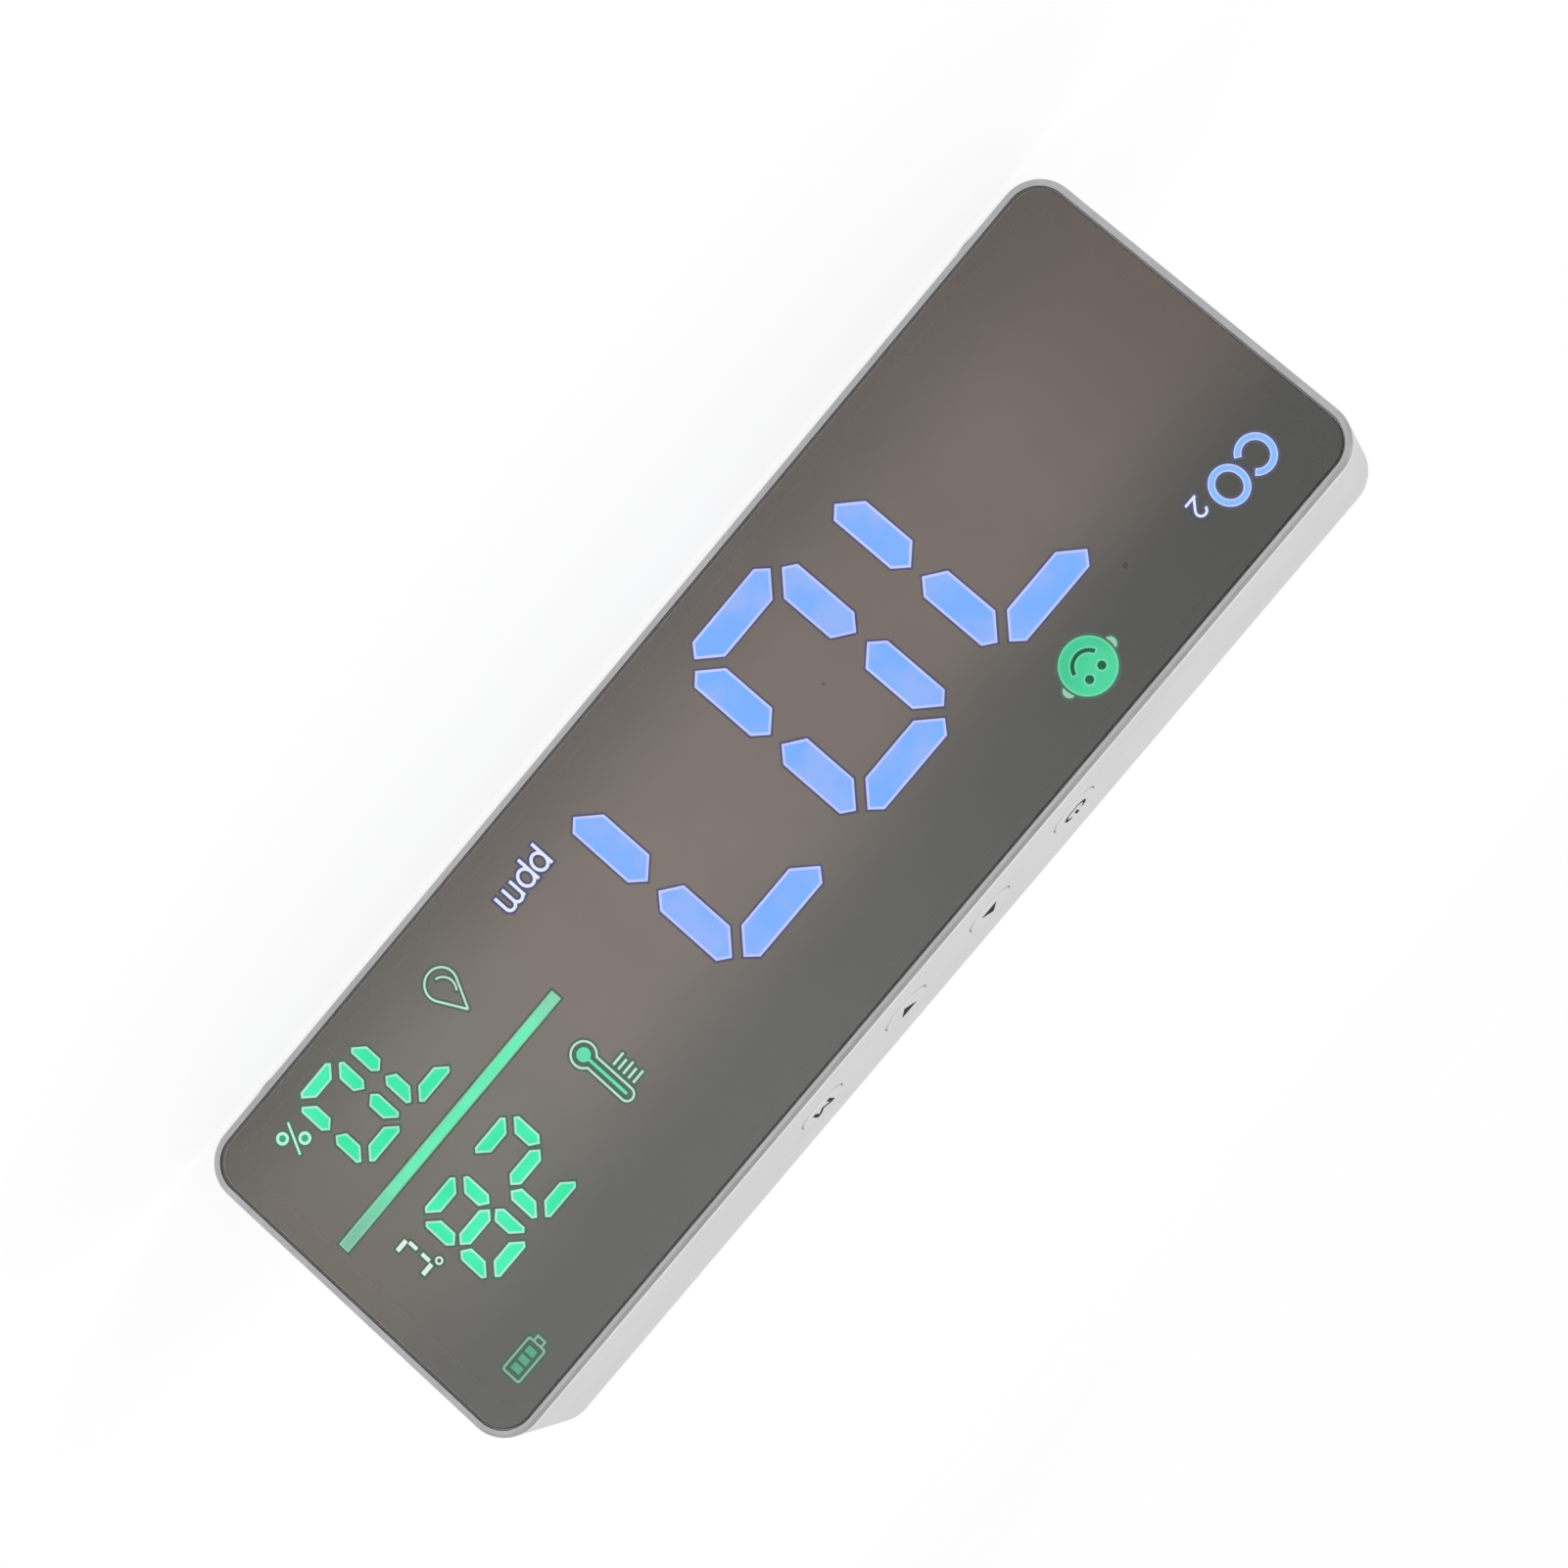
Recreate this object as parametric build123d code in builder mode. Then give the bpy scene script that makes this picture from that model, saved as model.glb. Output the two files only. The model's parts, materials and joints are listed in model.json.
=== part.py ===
from build123d import *
import math
import os

os.makedirs("parts", exist_ok=True)

# Desk or wall air quality monitor: a half-mirror front with a lit display, four top buttons.
# +X is to the right as the display is read, +Y goes from the front to the back, +Z is up.
# The origin is under the middle of the body, on the surface that the feet stand on. All in mm.

# ---- driving dimensions ----
BODY_W = 200.0
BODY_H = 66.1
BODY_D = 31.0
BODY_R = 6.5
FOOT_PROUD = 0.8
WALL = 2.0

FRONT_Y = -BODY_D / 2
BACK_Y = BODY_D / 2
MID_Z = FOOT_PROUD + BODY_H / 2
TOP_Z = FOOT_PROUD + BODY_H

FRAME_LIP = 1.1
FRAME_RING_D = 2.2
FRAME_CHAMFER = 0.5
LENS_GAP = 0.3
LENS_RECESS = 0.1
LENS_T = 1.65
TAPE_T = 0.2
TAPE_SLACK = 0.02
LEDGE_T = 1.3
LEDGE_END_W = 3.6
LEDGE_SIDE_W = 2.5
SKIRT_T = 1.4
SKIRT_D = 2.75
SKIRT_GAP = 0.2

HOUSING_FRONT_Y = FRONT_Y + FRAME_RING_D
INNER_W = BODY_W - 2 * WALL
INNER_H = BODY_H - 2 * WALL
INNER_R = BODY_R - WALL

LENS_W = BODY_W - 2 * FRAME_LIP - 2 * LENS_GAP
LENS_H = BODY_H - 2 * FRAME_LIP - 2 * LENS_GAP
LENS_R = BODY_R - FRAME_LIP - LENS_GAP
LENS_FRONT_Y = FRONT_Y + LENS_RECESS
LENS_BACK_Y = LENS_FRONT_Y + LENS_T
LEDGE_FRONT_Y = LENS_BACK_Y + TAPE_SLACK + TAPE_T
LEDGE_BACK_Y = LEDGE_FRONT_Y + LEDGE_T
LEDGE_OPEN_W = BODY_W - 2 * FRAME_LIP - 2 * LEDGE_END_W
LEDGE_OPEN_H = BODY_H - 2 * FRAME_LIP - 2 * LEDGE_SIDE_W

BOX_FRONT_Y = LENS_BACK_Y + 0.1
BOX_GAP = 0.3
BOX_W = LEDGE_OPEN_W - 2 * BOX_GAP
BOX_H = LEDGE_OPEN_H - 2 * BOX_GAP
BOX_FLANGE_W = INNER_W - 2 * SKIRT_GAP - 2 * SKIRT_T - 2 * BOX_GAP
BOX_BACK_Y = -9.0
DIFFUSER_T = 0.6
SKIN_T = DIFFUSER_T
SLAB_T = 0.4
BOARD_T = 1.6
LED_BOARD_W = 188.0
LED_BOARD_H = 54.0
LED_BOARD_BACK_Y = BOX_BACK_Y + BOARD_T

COVER_FRONT_Y = 13.0
COVER_T = 2.3
COVER_GAP = 0.25
COVER_BACK_Y = COVER_FRONT_Y + COVER_T
BOSS_R = 3.2
BOSS_X = 91.0
BOSS_LOW_Z = FOOT_PROUD + WALL + BOSS_R
BOSS_TOP_Z = TOP_Z - WALL - BOSS_R
SCREW_R = 1.1
SCREW_HOLE_R = 1.15
SCREW_HEAD_R = 2.2
SCREW_HEAD_T = 1.4
SCREW_SEAT_R = 2.6
SCREW_SEAT_T = 1.5
SCREW_LEN = 6.0
COVER_SCREWS = [
    (-BOSS_X, BOSS_LOW_Z),
    (0, BOSS_LOW_Z),
    (BOSS_X, BOSS_LOW_Z),
    (-BOSS_X, BOSS_TOP_Z),
    (0, BOSS_TOP_Z),
    (BOSS_X, BOSS_TOP_Z),
]

# Small screws that hold the boards.
PIN_R = 0.8
PIN_HOLE_R = 0.85
PIN_HEAD_R = 1.7
PIN_HEAD_T = 1.0
PIN_LEN = 4.6
POST_R = 2.3

BUTTON_R = 4.45
BUTTON_HOLE_R = 4.65
BUTTON_PITCH = 19.85
BUTTON_MID_X = 0.5
BUTTON_Y = -1.0
BUTTON_PROUD = 0.3
BUTTON_FLANGE_R = 5.4
BUTTON_FLANGE_T = 1.0
BUTTON_TRAVEL = 0.5
BUTTON_STEM_R = 2.0
BUTTON_TOP_Z = TOP_Z + BUTTON_PROUD
FLANGE_TOP_Z = TOP_Z - WALL - 0.1
FLANGE_LOW_Z = FLANGE_TOP_Z - BUTTON_FLANGE_T
KEY_BOARD_LOW_Z = 54.9
KEY_BOARD_TOP_Z = KEY_BOARD_LOW_Z + BOARD_T
SWITCH_SIDE = 6.0
SWITCH_H = 3.5
SWITCH_TOP_Z = KEY_BOARD_TOP_Z + SWITCH_H
STEM_LOW_Z = SWITCH_TOP_Z + BUTTON_TRAVEL + 0.1
PLUNGER_R = 1.75
PLUNGER_HOLE_R = 1.82
KEY_POST_R = 2.5
KEY_POST_X = (-37.6, 39.4)
BUTTON_X = [BUTTON_MID_X + BUTTON_PITCH * (i - 1.5) for i in range(4)]

# ---- display layout, from the middle of the front window: x to the right, z up ----
CO2_DIGIT_W = 24.4
CO2_DIGIT_H = 39.3
CO2_BAR_T = 5.35
CO2_DIGIT_Z = -6.25
CO2_DIGITS = [(-51.7, "7"), (-18.8, "0"), (10.25, "7")]
CLIMATE_DIGIT_W = 10.3
CLIMATE_DIGIT_H = 15.9
CLIMATE_BAR_T = 2.4
TEMPERATURE_Z = 6.6
HUMIDITY_Z = -19.9
TENS_X = 65.4
UNITS_X = 77.45
LIT = {"7": "abc", "0": "abcdef", "2": "abged", "8": "abcdefg"}
ALL_BARS = "abcdefg"


def at_y(y):
    """Upright sketch plane at depth y: its local axes are X and Z, and it faces the front."""
    return Plane.XZ.offset(-y)


def bar_outlines(width, height, bar, cut, tip, middle):
    """Outlines of the seven pointed bars of one digit, from the digit's middle."""
    hw = width / 2
    hh = height / 2
    level = [
        (-(hw - tip - cut), hh - tip),
        (-(hw - 1.9 * tip - cut), hh),
        (hw - 1.9 * tip - cut, hh),
        (hw - tip - cut, hh - tip),
        (hw - bar - cut, hh - bar),
        (-(hw - bar - cut), hh - bar),
    ]
    upright = [
        (hw - tip, hh - tip - cut),
        (hw, hh - 1.8 * tip - cut),
        (hw, middle + 0.42 * bar),
        (hw - 0.4 * bar, middle),
        (hw - bar, middle + 0.46 * bar),
        (hw - bar, hh - bar - cut),
    ]
    end = hw - 0.4 * bar - middle
    centre = [
        (-end, 0),
        (-(end - bar / 2), bar / 2),
        (end - bar / 2, bar / 2),
        (end, 0),
        (end - bar / 2, -bar / 2),
        (-(end - bar / 2), -bar / 2),
    ]
    return {
        "a": level,
        "b": upright,
        "c": [(x, -z) for x, z in upright],
        "d": [(x, -z) for x, z in level],
        "e": [(-x, -z) for x, z in upright],
        "f": [(-x, z) for x, z in upright],
        "g": centre,
    }


CO2_BARS = bar_outlines(CO2_DIGIT_W, CO2_DIGIT_H, CO2_BAR_T, 1.25, 1.95, 1.1)
CLIMATE_BARS = bar_outlines(CLIMATE_DIGIT_W, CLIMATE_DIGIT_H, CLIMATE_BAR_T, 0.9, 0.65, 0.6)
CLIMATE_DIGITS = [
    (TENS_X, TEMPERATURE_Z, "2"),
    (UNITS_X, TEMPERATURE_Z, "8"),
    (TENS_X, HUMIDITY_Z, "7"),
    (UNITS_X, HUMIDITY_Z, "0"),
]


def draw_bars(outlines, x, z, names):
    """Draw the named bars of one digit on the current sketch."""
    for name in names:
        Polygon(*[(x + px, MID_Z + z + pz) for px, pz in outlines[name]], align=None)


def draw_co2_bars(lit):
    for x, shown in CO2_DIGITS:
        names = [n for n in ALL_BARS if (n in LIT[shown]) == lit]
        draw_bars(CO2_BARS, x, CO2_DIGIT_Z, names)


def draw_climate_bars(lit):
    for x, z, shown in CLIMATE_DIGITS:
        names = [n for n in ALL_BARS if (n in LIT[shown]) == lit]
        draw_bars(CLIMATE_BARS, x, z, names)


def draw_stroke(width, *points):
    """Draw a line of the given width through the points, with square corners."""
    for (x0, z0), (x1, z1) in zip(points[:-1], points[1:]):
        length = math.hypot(x1 - x0, z1 - z0)
        angle = math.degrees(math.atan2(z1 - z0, x1 - x0))
        with Locations(Location(((x0 + x1) / 2, MID_Z + (z0 + z1) / 2), angle)):
            Rectangle(length, width)


def draw_arc(radius, width, x, z, start, span, mode=Mode.ADD):
    """Draw part of a ring: radius is the middle of its band, angles in degrees."""
    with BuildLine() as band:
        outer = CenterArc((x, MID_Z + z), radius + width / 2, start, span)
        inner = CenterArc((x, MID_Z + z), radius - width / 2, start, span)
        Line(outer @ 0, inner @ 0)
        Line(outer @ 1, inner @ 1)
    make_face(band.edges(), mode=mode)


def draw_ring(radius_x, radius_z, width, x, z):
    """Draw an oval ring with outer radii radius_x and radius_z."""
    with Locations((x, MID_Z + z)):
        Ellipse(radius_x, radius_z)
        Ellipse(radius_x - width, radius_z - width, mode=Mode.SUBTRACT)


LETTER_Z = 21.65
C_X = -87.3
O_X = -81.3
SUB_X = -75.8
SUB_Z = 20.1
PPM_Z = -22.3
PPM_STROKE = 0.62


def draw_co2_name():
    """The gas name: a C, an O and a small 2 below the line."""
    draw_ring(3.25, 3.4, 1.25, C_X, LETTER_Z)
    middle = (C_X, MID_Z + LETTER_Z)
    above = (C_X + 4.0, MID_Z + LETTER_Z + 3.1)
    below = (C_X + 4.0, MID_Z + LETTER_Z - 3.1)
    Polygon(middle, below, above, align=None, mode=Mode.SUBTRACT)
    draw_ring(3.15, 3.4, 1.25, O_X, LETTER_Z)
    draw_arc(0.85, 0.5, SUB_X, SUB_Z + 0.75, 175, -215)
    draw_stroke(0.5, (SUB_X + 0.72, SUB_Z + 0.25), (SUB_X - 0.85, SUB_Z - 1.45))
    draw_stroke(0.5, (SUB_X - 1.15, SUB_Z - 1.4), (SUB_X + 1.15, SUB_Z - 1.4))


def draw_ppm():
    """The unit ppm."""
    for stem in (27.85, 31.05):
        draw_stroke(PPM_STROKE, (stem, PPM_Z + 1.7), (stem, PPM_Z - 2.8))
        draw_ring(1.5, 1.75, PPM_STROKE, stem + 1.2, PPM_Z)
    for stem in (34.4, 36.15, 37.9):
        draw_stroke(PPM_STROKE, (stem, PPM_Z + 0.85), (stem, PPM_Z - 1.7))
    draw_stroke(PPM_STROKE, (34.4, PPM_Z + 1.7), (34.4, PPM_Z))
    for middle in (35.275, 37.025):
        draw_arc(0.875, PPM_STROKE, middle, PPM_Z + 0.8, 0, 180)


FACE_X = -47.5
FACE_Z = 22.95
FACE_R = 4.65


def draw_face():
    """A round smiling face with open eyes and mouth."""
    with Locations((FACE_X, MID_Z + FACE_Z)):
        Circle(FACE_R)
    with Locations((FACE_X - 1.4, MID_Z + FACE_Z + 1.5), (FACE_X + 1.4, MID_Z + FACE_Z + 1.5)):
        Circle(0.6, mode=Mode.SUBTRACT)
    draw_arc(2.45, 0.45, FACE_X, FACE_Z + 0.1, 200, 140, Mode.SUBTRACT)


def draw_face_ears():
    """A rounded pad on each side of the face, just clear of its edge."""
    half = 12.5
    for side, middle in ((1, 4), (-1, 176)):
        with BuildLine() as pad:
            inner = CenterArc((FACE_X, MID_Z + FACE_Z), FACE_R + 0.25, middle - half, 2 * half)
            tip = (FACE_X + side * (FACE_R + 1.05), MID_Z + FACE_Z + 0.35)
            ThreePointArc(inner @ 0, tip, inner @ 1)
        make_face(pad.edges())


BULB_X = 46.6
BULB_Z = 2.3
TUBE_TOP = 9.0
TUBE_R = 1.1
BULB_R = 2.05
OUTLINE = 0.36


def draw_thermometer():
    """Outline of a bulb thermometer with five scale marks."""
    open_half = math.degrees(math.asin(TUBE_R / BULB_R))
    draw_arc(BULB_R, OUTLINE, BULB_X, BULB_Z, 90 + open_half, 360 - 2 * open_half)
    neck = BULB_Z + math.sqrt(BULB_R**2 - TUBE_R**2)
    for side in (-1, 1):
        x = BULB_X + side * TUBE_R
        draw_stroke(OUTLINE, (x, neck - 0.1), (x, BULB_Z + TUBE_TOP))
    draw_arc(TUBE_R, OUTLINE, BULB_X, BULB_Z + TUBE_TOP, 0, 180)
    for mark in range(5):
        z = BULB_Z + 4.5 + 1.03 * mark
        draw_stroke(0.4, (BULB_X - (4.3 if mark % 2 == 0 else 3.9), z), (BULB_X - 1.9, z))


def draw_thermometer_fill():
    with Locations((BULB_X, MID_Z + BULB_Z)):
        Circle(1.15)
    draw_stroke(0.5, (BULB_X, BULB_Z), (BULB_X, BULB_Z + TUBE_TOP))


DROP_X = 53.3
DROP_Z = -21.8


def draw_drop():
    """Outline of a water drop with a highlight line inside."""
    radius = 2.65
    height = 5.75
    lean = math.degrees(math.acos(radius / height))
    draw_arc(radius, OUTLINE, DROP_X, DROP_Z, 90 + lean, 360 - 2 * lean)
    reach_x = radius * math.cos(math.radians(90 - lean))
    reach_z = radius * math.sin(math.radians(90 - lean))
    for side in (-1, 1):
        draw_stroke(OUTLINE, (DROP_X + side * reach_x, DROP_Z + reach_z), (DROP_X, DROP_Z + height))
    draw_arc(2.2, 0.34, DROP_X + 0.6, DROP_Z + 0.9, 134, 120)


def draw_degree_c():
    """Degree ring and a C made of four short bars."""
    draw_ring(0.66, 0.66, 0.32, 85.0, 5.7)
    draw_stroke(0.75, (86.2, 5.15), (88.3, 5.15))
    draw_stroke(0.75, (86.2, -0.25), (88.3, -0.25))
    draw_stroke(0.62, (86.05, 2.95), (86.05, 4.6))
    draw_stroke(0.62, (86.05, 0.3), (86.05, 1.95))


def draw_percent():
    for x, z in ((85.2, -22.75), (87.65, -25.4)):
        draw_ring(1.05, 1.05, 0.5, x, z)
    draw_stroke(0.4, (87.6, -21.65), (85.2, -26.4))


CELL_X = 87.35
CELL_Z = 25.55


def draw_battery():
    """Outline of a battery, with its terminal on the left."""
    with Locations((CELL_X, MID_Z + CELL_Z)):
        RectangleRounded(6.7, 3.6, 0.5)
        RectangleRounded(6.0, 2.9, 0.3, mode=Mode.SUBTRACT)
    draw_stroke(0.35, (CELL_X - 3.35, CELL_Z + 0.75), (CELL_X - 4.2, CELL_Z + 0.75))
    draw_stroke(0.35, (CELL_X - 3.35, CELL_Z - 0.75), (CELL_X - 4.2, CELL_Z - 0.75))
    draw_stroke(0.35, (CELL_X - 4.2, CELL_Z + 0.92), (CELL_X - 4.2, CELL_Z - 0.92))


def draw_battery_cells():
    with Locations((CELL_X, MID_Z + CELL_Z)):
        with GridLocations(1.65, 1, 3, 1):
            Rectangle(1.2, 1.7)


DIVIDER_X = 68.1
DIVIDER_Z = -6.95


def draw_divider():
    with Locations((DIVIDER_X, MID_Z + DIVIDER_Z)):
        Rectangle(51.2, 1.95)


LIGHT_SENSOR_X = -62.4
LIGHT_SENSOR_Z = 17.4

# Shared light pockets behind the small marks: middle x, middle z, width, height.
POCKETS = [
    (-82.5, 21.35, 17.0, 8.6),
    (32.95, -22.85, 12.4, 6.0),
    (FACE_X, FACE_Z, 12.2, 10.4),
    (45.3, 6.35, 7.2, 13.6),
    (DROP_X, DROP_Z + 1.35, 6.8, 9.8),
    (86.7, 2.55, 5.2, 7.8),
    (86.4, -24.05, 5.2, 6.6),
    (87.0, CELL_Z, 9.4, 4.8),
    (DIVIDER_X, DIVIDER_Z, 51.6, 2.8),
    (LIGHT_SENSOR_X, LIGHT_SENSOR_Z, 3.2, 3.2),
]

# ---- front frame: plated lip, lens ledge, skirt and snap hooks ----
HOOK_X = (-60.0, 0.0, 60.0)
HOOK_Y = FRONT_Y + FRAME_RING_D + 3.0

with BuildPart() as front_frame:
    with BuildSketch(at_y(HOUSING_FRONT_Y)):
        with Locations((0, MID_Z)):
            RectangleRounded(BODY_W, BODY_H, BODY_R)
    extrude(amount=FRAME_RING_D)
    chamfer(front_frame.faces().sort_by(Axis.Y)[0].edges(), FRAME_CHAMFER)
    with BuildSketch(at_y(HOUSING_FRONT_Y)):
        with Locations((0, MID_Z)):
            RectangleRounded(INNER_W - 2 * SKIRT_GAP, INNER_H - 2 * SKIRT_GAP, INNER_R - SKIRT_GAP)
    extrude(amount=-(LEDGE_BACK_Y + SKIRT_D - HOUSING_FRONT_Y))
    with BuildSketch(at_y(LEDGE_FRONT_Y)):
        with Locations((0, MID_Z)):
            RectangleRounded(
                BODY_W - 2 * FRAME_LIP, BODY_H - 2 * FRAME_LIP, BODY_R - FRAME_LIP
            )
    extrude(amount=10, mode=Mode.SUBTRACT)
    with BuildSketch(at_y(LEDGE_BACK_Y)):
        with Locations((0, MID_Z)):
            RectangleRounded(LEDGE_OPEN_W, LEDGE_OPEN_H, 3.0)
    extrude(amount=10, mode=Mode.SUBTRACT)
    with BuildSketch(at_y(LEDGE_BACK_Y)):
        with Locations((0, MID_Z)):
            RectangleRounded(
                INNER_W - 2 * SKIRT_GAP - 2 * SKIRT_T,
                INNER_H - 2 * SKIRT_GAP - 2 * SKIRT_T,
                INNER_R - SKIRT_GAP - SKIRT_T,
            )
    extrude(amount=-10, mode=Mode.SUBTRACT)
    for side in (-1, 1):
        with Locations([(x, HOOK_Y, MID_Z + side * (INNER_H / 2 + 0.1)) for x in HOOK_X]):
            Box(8, 1.2, 0.8)
front_frame.part.label = "front_frame"
export_step(front_frame.part, "parts/front_frame.step")

with BuildPart() as mirror_lens:
    with BuildSketch(at_y(LENS_BACK_Y)):
        with Locations((0, MID_Z)):
            RectangleRounded(LENS_W, LENS_H, LENS_R)
    extrude(amount=LENS_T)
    chamfer(mirror_lens.faces().sort_by(Axis.Y)[0].edges(), 0.15)
mirror_lens.part.label = "mirror_lens"
export_step(mirror_lens.part, "parts/mirror_lens.step")

with BuildPart() as lens_tape:
    with BuildSketch(at_y(LEDGE_FRONT_Y)):
        with Locations((0, MID_Z)):
            RectangleRounded(LENS_W, LENS_H, LENS_R)
            RectangleRounded(LEDGE_OPEN_W, LEDGE_OPEN_H, 3.0, mode=Mode.SUBTRACT)
    extrude(amount=TAPE_T)
lens_tape.part.label = "lens_tape"
export_step(lens_tape.part, "parts/lens_tape.step")

# ---- display stack: light box, diffusers, LED board ----
BOX_SCREWS = [(-88, -20), (-88, 4), (-30, 22), (30, 22), (91.5, 12), (91.5, -18), (-4.1, -24), (45, -24)]

with BuildPart() as box_stock:
    with BuildSketch(at_y(LEDGE_BACK_Y)):
        with Locations((0, MID_Z)):
            RectangleRounded(BOX_W, BOX_H, 2.5)
    extrude(amount=LEDGE_BACK_Y - BOX_FRONT_Y)
    with BuildSketch(at_y(BOX_BACK_Y)):
        with Locations((0, MID_Z)):
            RectangleRounded(BOX_FLANGE_W, BOX_H, 2.5)
    extrude(amount=BOX_BACK_Y - LEDGE_BACK_Y)
    with BuildSketch(at_y(BOX_BACK_Y)):
        draw_co2_bars(True)
        draw_co2_bars(False)
        draw_climate_bars(True)
        draw_climate_bars(False)
    extrude(amount=10, mode=Mode.SUBTRACT)
    with BuildSketch(at_y(BOX_BACK_Y)):
        for x, z, width, height in POCKETS:
            with Locations((x, MID_Z + z)):
                Rectangle(width, height)
    extrude(amount=BOX_BACK_Y - BOX_FRONT_Y - SKIN_T, mode=Mode.SUBTRACT)
    with BuildSketch(at_y(BOX_BACK_Y)):
        draw_co2_name()
    extrude(amount=10, mode=Mode.SUBTRACT)
    with BuildSketch(at_y(BOX_BACK_Y)):
        draw_ppm()
    extrude(amount=10, mode=Mode.SUBTRACT)
    with BuildSketch(at_y(BOX_BACK_Y)):
        draw_face()
    extrude(amount=10, mode=Mode.SUBTRACT)
    with BuildSketch(at_y(BOX_BACK_Y)):
        draw_face_ears()
        draw_thermometer()
        draw_drop()
        draw_degree_c()
        draw_percent()
        draw_battery()
    extrude(amount=10, mode=Mode.SUBTRACT)
    with BuildSketch(at_y(BOX_BACK_Y)):
        draw_thermometer_fill()
        draw_battery_cells()
        draw_divider()
        with Locations((LIGHT_SENSOR_X, MID_Z + LIGHT_SENSOR_Z)):
            Circle(0.8)
    extrude(amount=10, mode=Mode.SUBTRACT)
    with BuildSketch(at_y(BOX_BACK_Y)):
        with Locations([(x, MID_Z + z) for x, z in BOX_SCREWS]):
            Circle(0.85)
    extrude(amount=3.4, mode=Mode.SUBTRACT)
# The light box is the one large solid: the rest are the middles of closed letters and outlines.
box_solids = box_stock.part.solids().sort_by(SortBy.VOLUME)

with BuildPart() as light_box:
    add(box_solids[-1])
light_box.part.label = "light_box"
export_step(light_box.part, "parts/light_box.step")

with BuildPart() as mark_middles:
    add(box_solids[:-1])
mark_middles.part.label = "mark_middles"
export_step(mark_middles.part, "parts/mark_middles.step")

with BuildPart() as mark_diffusers:
    with BuildSketch(at_y(BOX_FRONT_Y + SKIN_T + SLAB_T)):
        for x, z, width, height in POCKETS[:-1]:
            with Locations((x, MID_Z + z)):
                Rectangle(width, height)
    extrude(amount=SLAB_T)
mark_diffusers.part.label = "mark_diffusers"
export_step(mark_diffusers.part, "parts/mark_diffusers.step")

with BuildPart() as co2_bars:
    with BuildSketch(at_y(BOX_FRONT_Y + DIFFUSER_T)):
        draw_co2_bars(True)
    extrude(amount=DIFFUSER_T)
co2_bars.part.label = "co2_bars"
export_step(co2_bars.part, "parts/co2_bars.step")

with BuildPart() as co2_name:
    with BuildSketch(at_y(BOX_FRONT_Y + DIFFUSER_T)):
        draw_co2_name()
    extrude(amount=DIFFUSER_T)
    with BuildSketch(at_y(BOX_FRONT_Y + DIFFUSER_T)):
        draw_ppm()
    extrude(amount=DIFFUSER_T)
co2_name.part.label = "co2_name"
export_step(co2_name.part, "parts/co2_name.step")

with BuildPart() as climate_bars:
    with BuildSketch(at_y(BOX_FRONT_Y + DIFFUSER_T)):
        draw_climate_bars(True)
    extrude(amount=DIFFUSER_T)
climate_bars.part.label = "climate_bars"
export_step(climate_bars.part, "parts/climate_bars.step")

with BuildPart() as divider_bar:
    with BuildSketch(at_y(BOX_FRONT_Y + DIFFUSER_T)):
        draw_divider()
    extrude(amount=DIFFUSER_T)
divider_bar.part.label = "divider_bar"
export_step(divider_bar.part, "parts/divider_bar.step")

with BuildPart() as face_mark:
    with BuildSketch(at_y(BOX_FRONT_Y + DIFFUSER_T)):
        draw_face()
    extrude(amount=DIFFUSER_T)
face_mark.part.label = "face_mark"
export_step(face_mark.part, "parts/face_mark.step")

with BuildPart() as icon_outlines:
    with BuildSketch(at_y(BOX_FRONT_Y + DIFFUSER_T)):
        draw_face_ears()
        draw_thermometer()
        draw_drop()
        draw_degree_c()
        draw_battery()
    extrude(amount=DIFFUSER_T)
icon_outlines.part.label = "icon_outlines"
export_step(icon_outlines.part, "parts/icon_outlines.step")

with BuildPart() as icon_fills:
    with BuildSketch(at_y(BOX_FRONT_Y + DIFFUSER_T)):
        draw_thermometer_fill()
        draw_battery_cells()
        draw_percent()
    extrude(amount=DIFFUSER_T)
icon_fills.part.label = "icon_fills"
export_step(icon_fills.part, "parts/icon_fills.step")

with BuildPart() as unlit_bars:
    with BuildSketch(at_y(BOX_FRONT_Y + DIFFUSER_T)):
        draw_co2_bars(False)
        draw_climate_bars(False)
    extrude(amount=DIFFUSER_T)
unlit_bars.part.label = "unlit_bars"
export_step(unlit_bars.part, "parts/unlit_bars.step")

with BuildPart() as led_board:
    with BuildSketch(at_y(LED_BOARD_BACK_Y)):
        with Locations((0, MID_Z)):
            RectangleRounded(LED_BOARD_W, LED_BOARD_H, 1.0)
        with Locations([(x, MID_Z + z) for x, z in BOX_SCREWS]):
            Circle(0.9, mode=Mode.SUBTRACT)
    extrude(amount=BOARD_T)
led_board.part.label = "led_board"
export_step(led_board.part, "parts/led_board.step")

with BuildPart() as light_sensor:
    with Locations((LIGHT_SENSOR_X, BOX_BACK_Y - 0.45, MID_Z + LIGHT_SENSOR_Z)):
        Box(2.0, 0.9, 1.6)
light_sensor.part.label = "light_sensor"
export_step(light_sensor.part, "parts/light_sensor.step")


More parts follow.
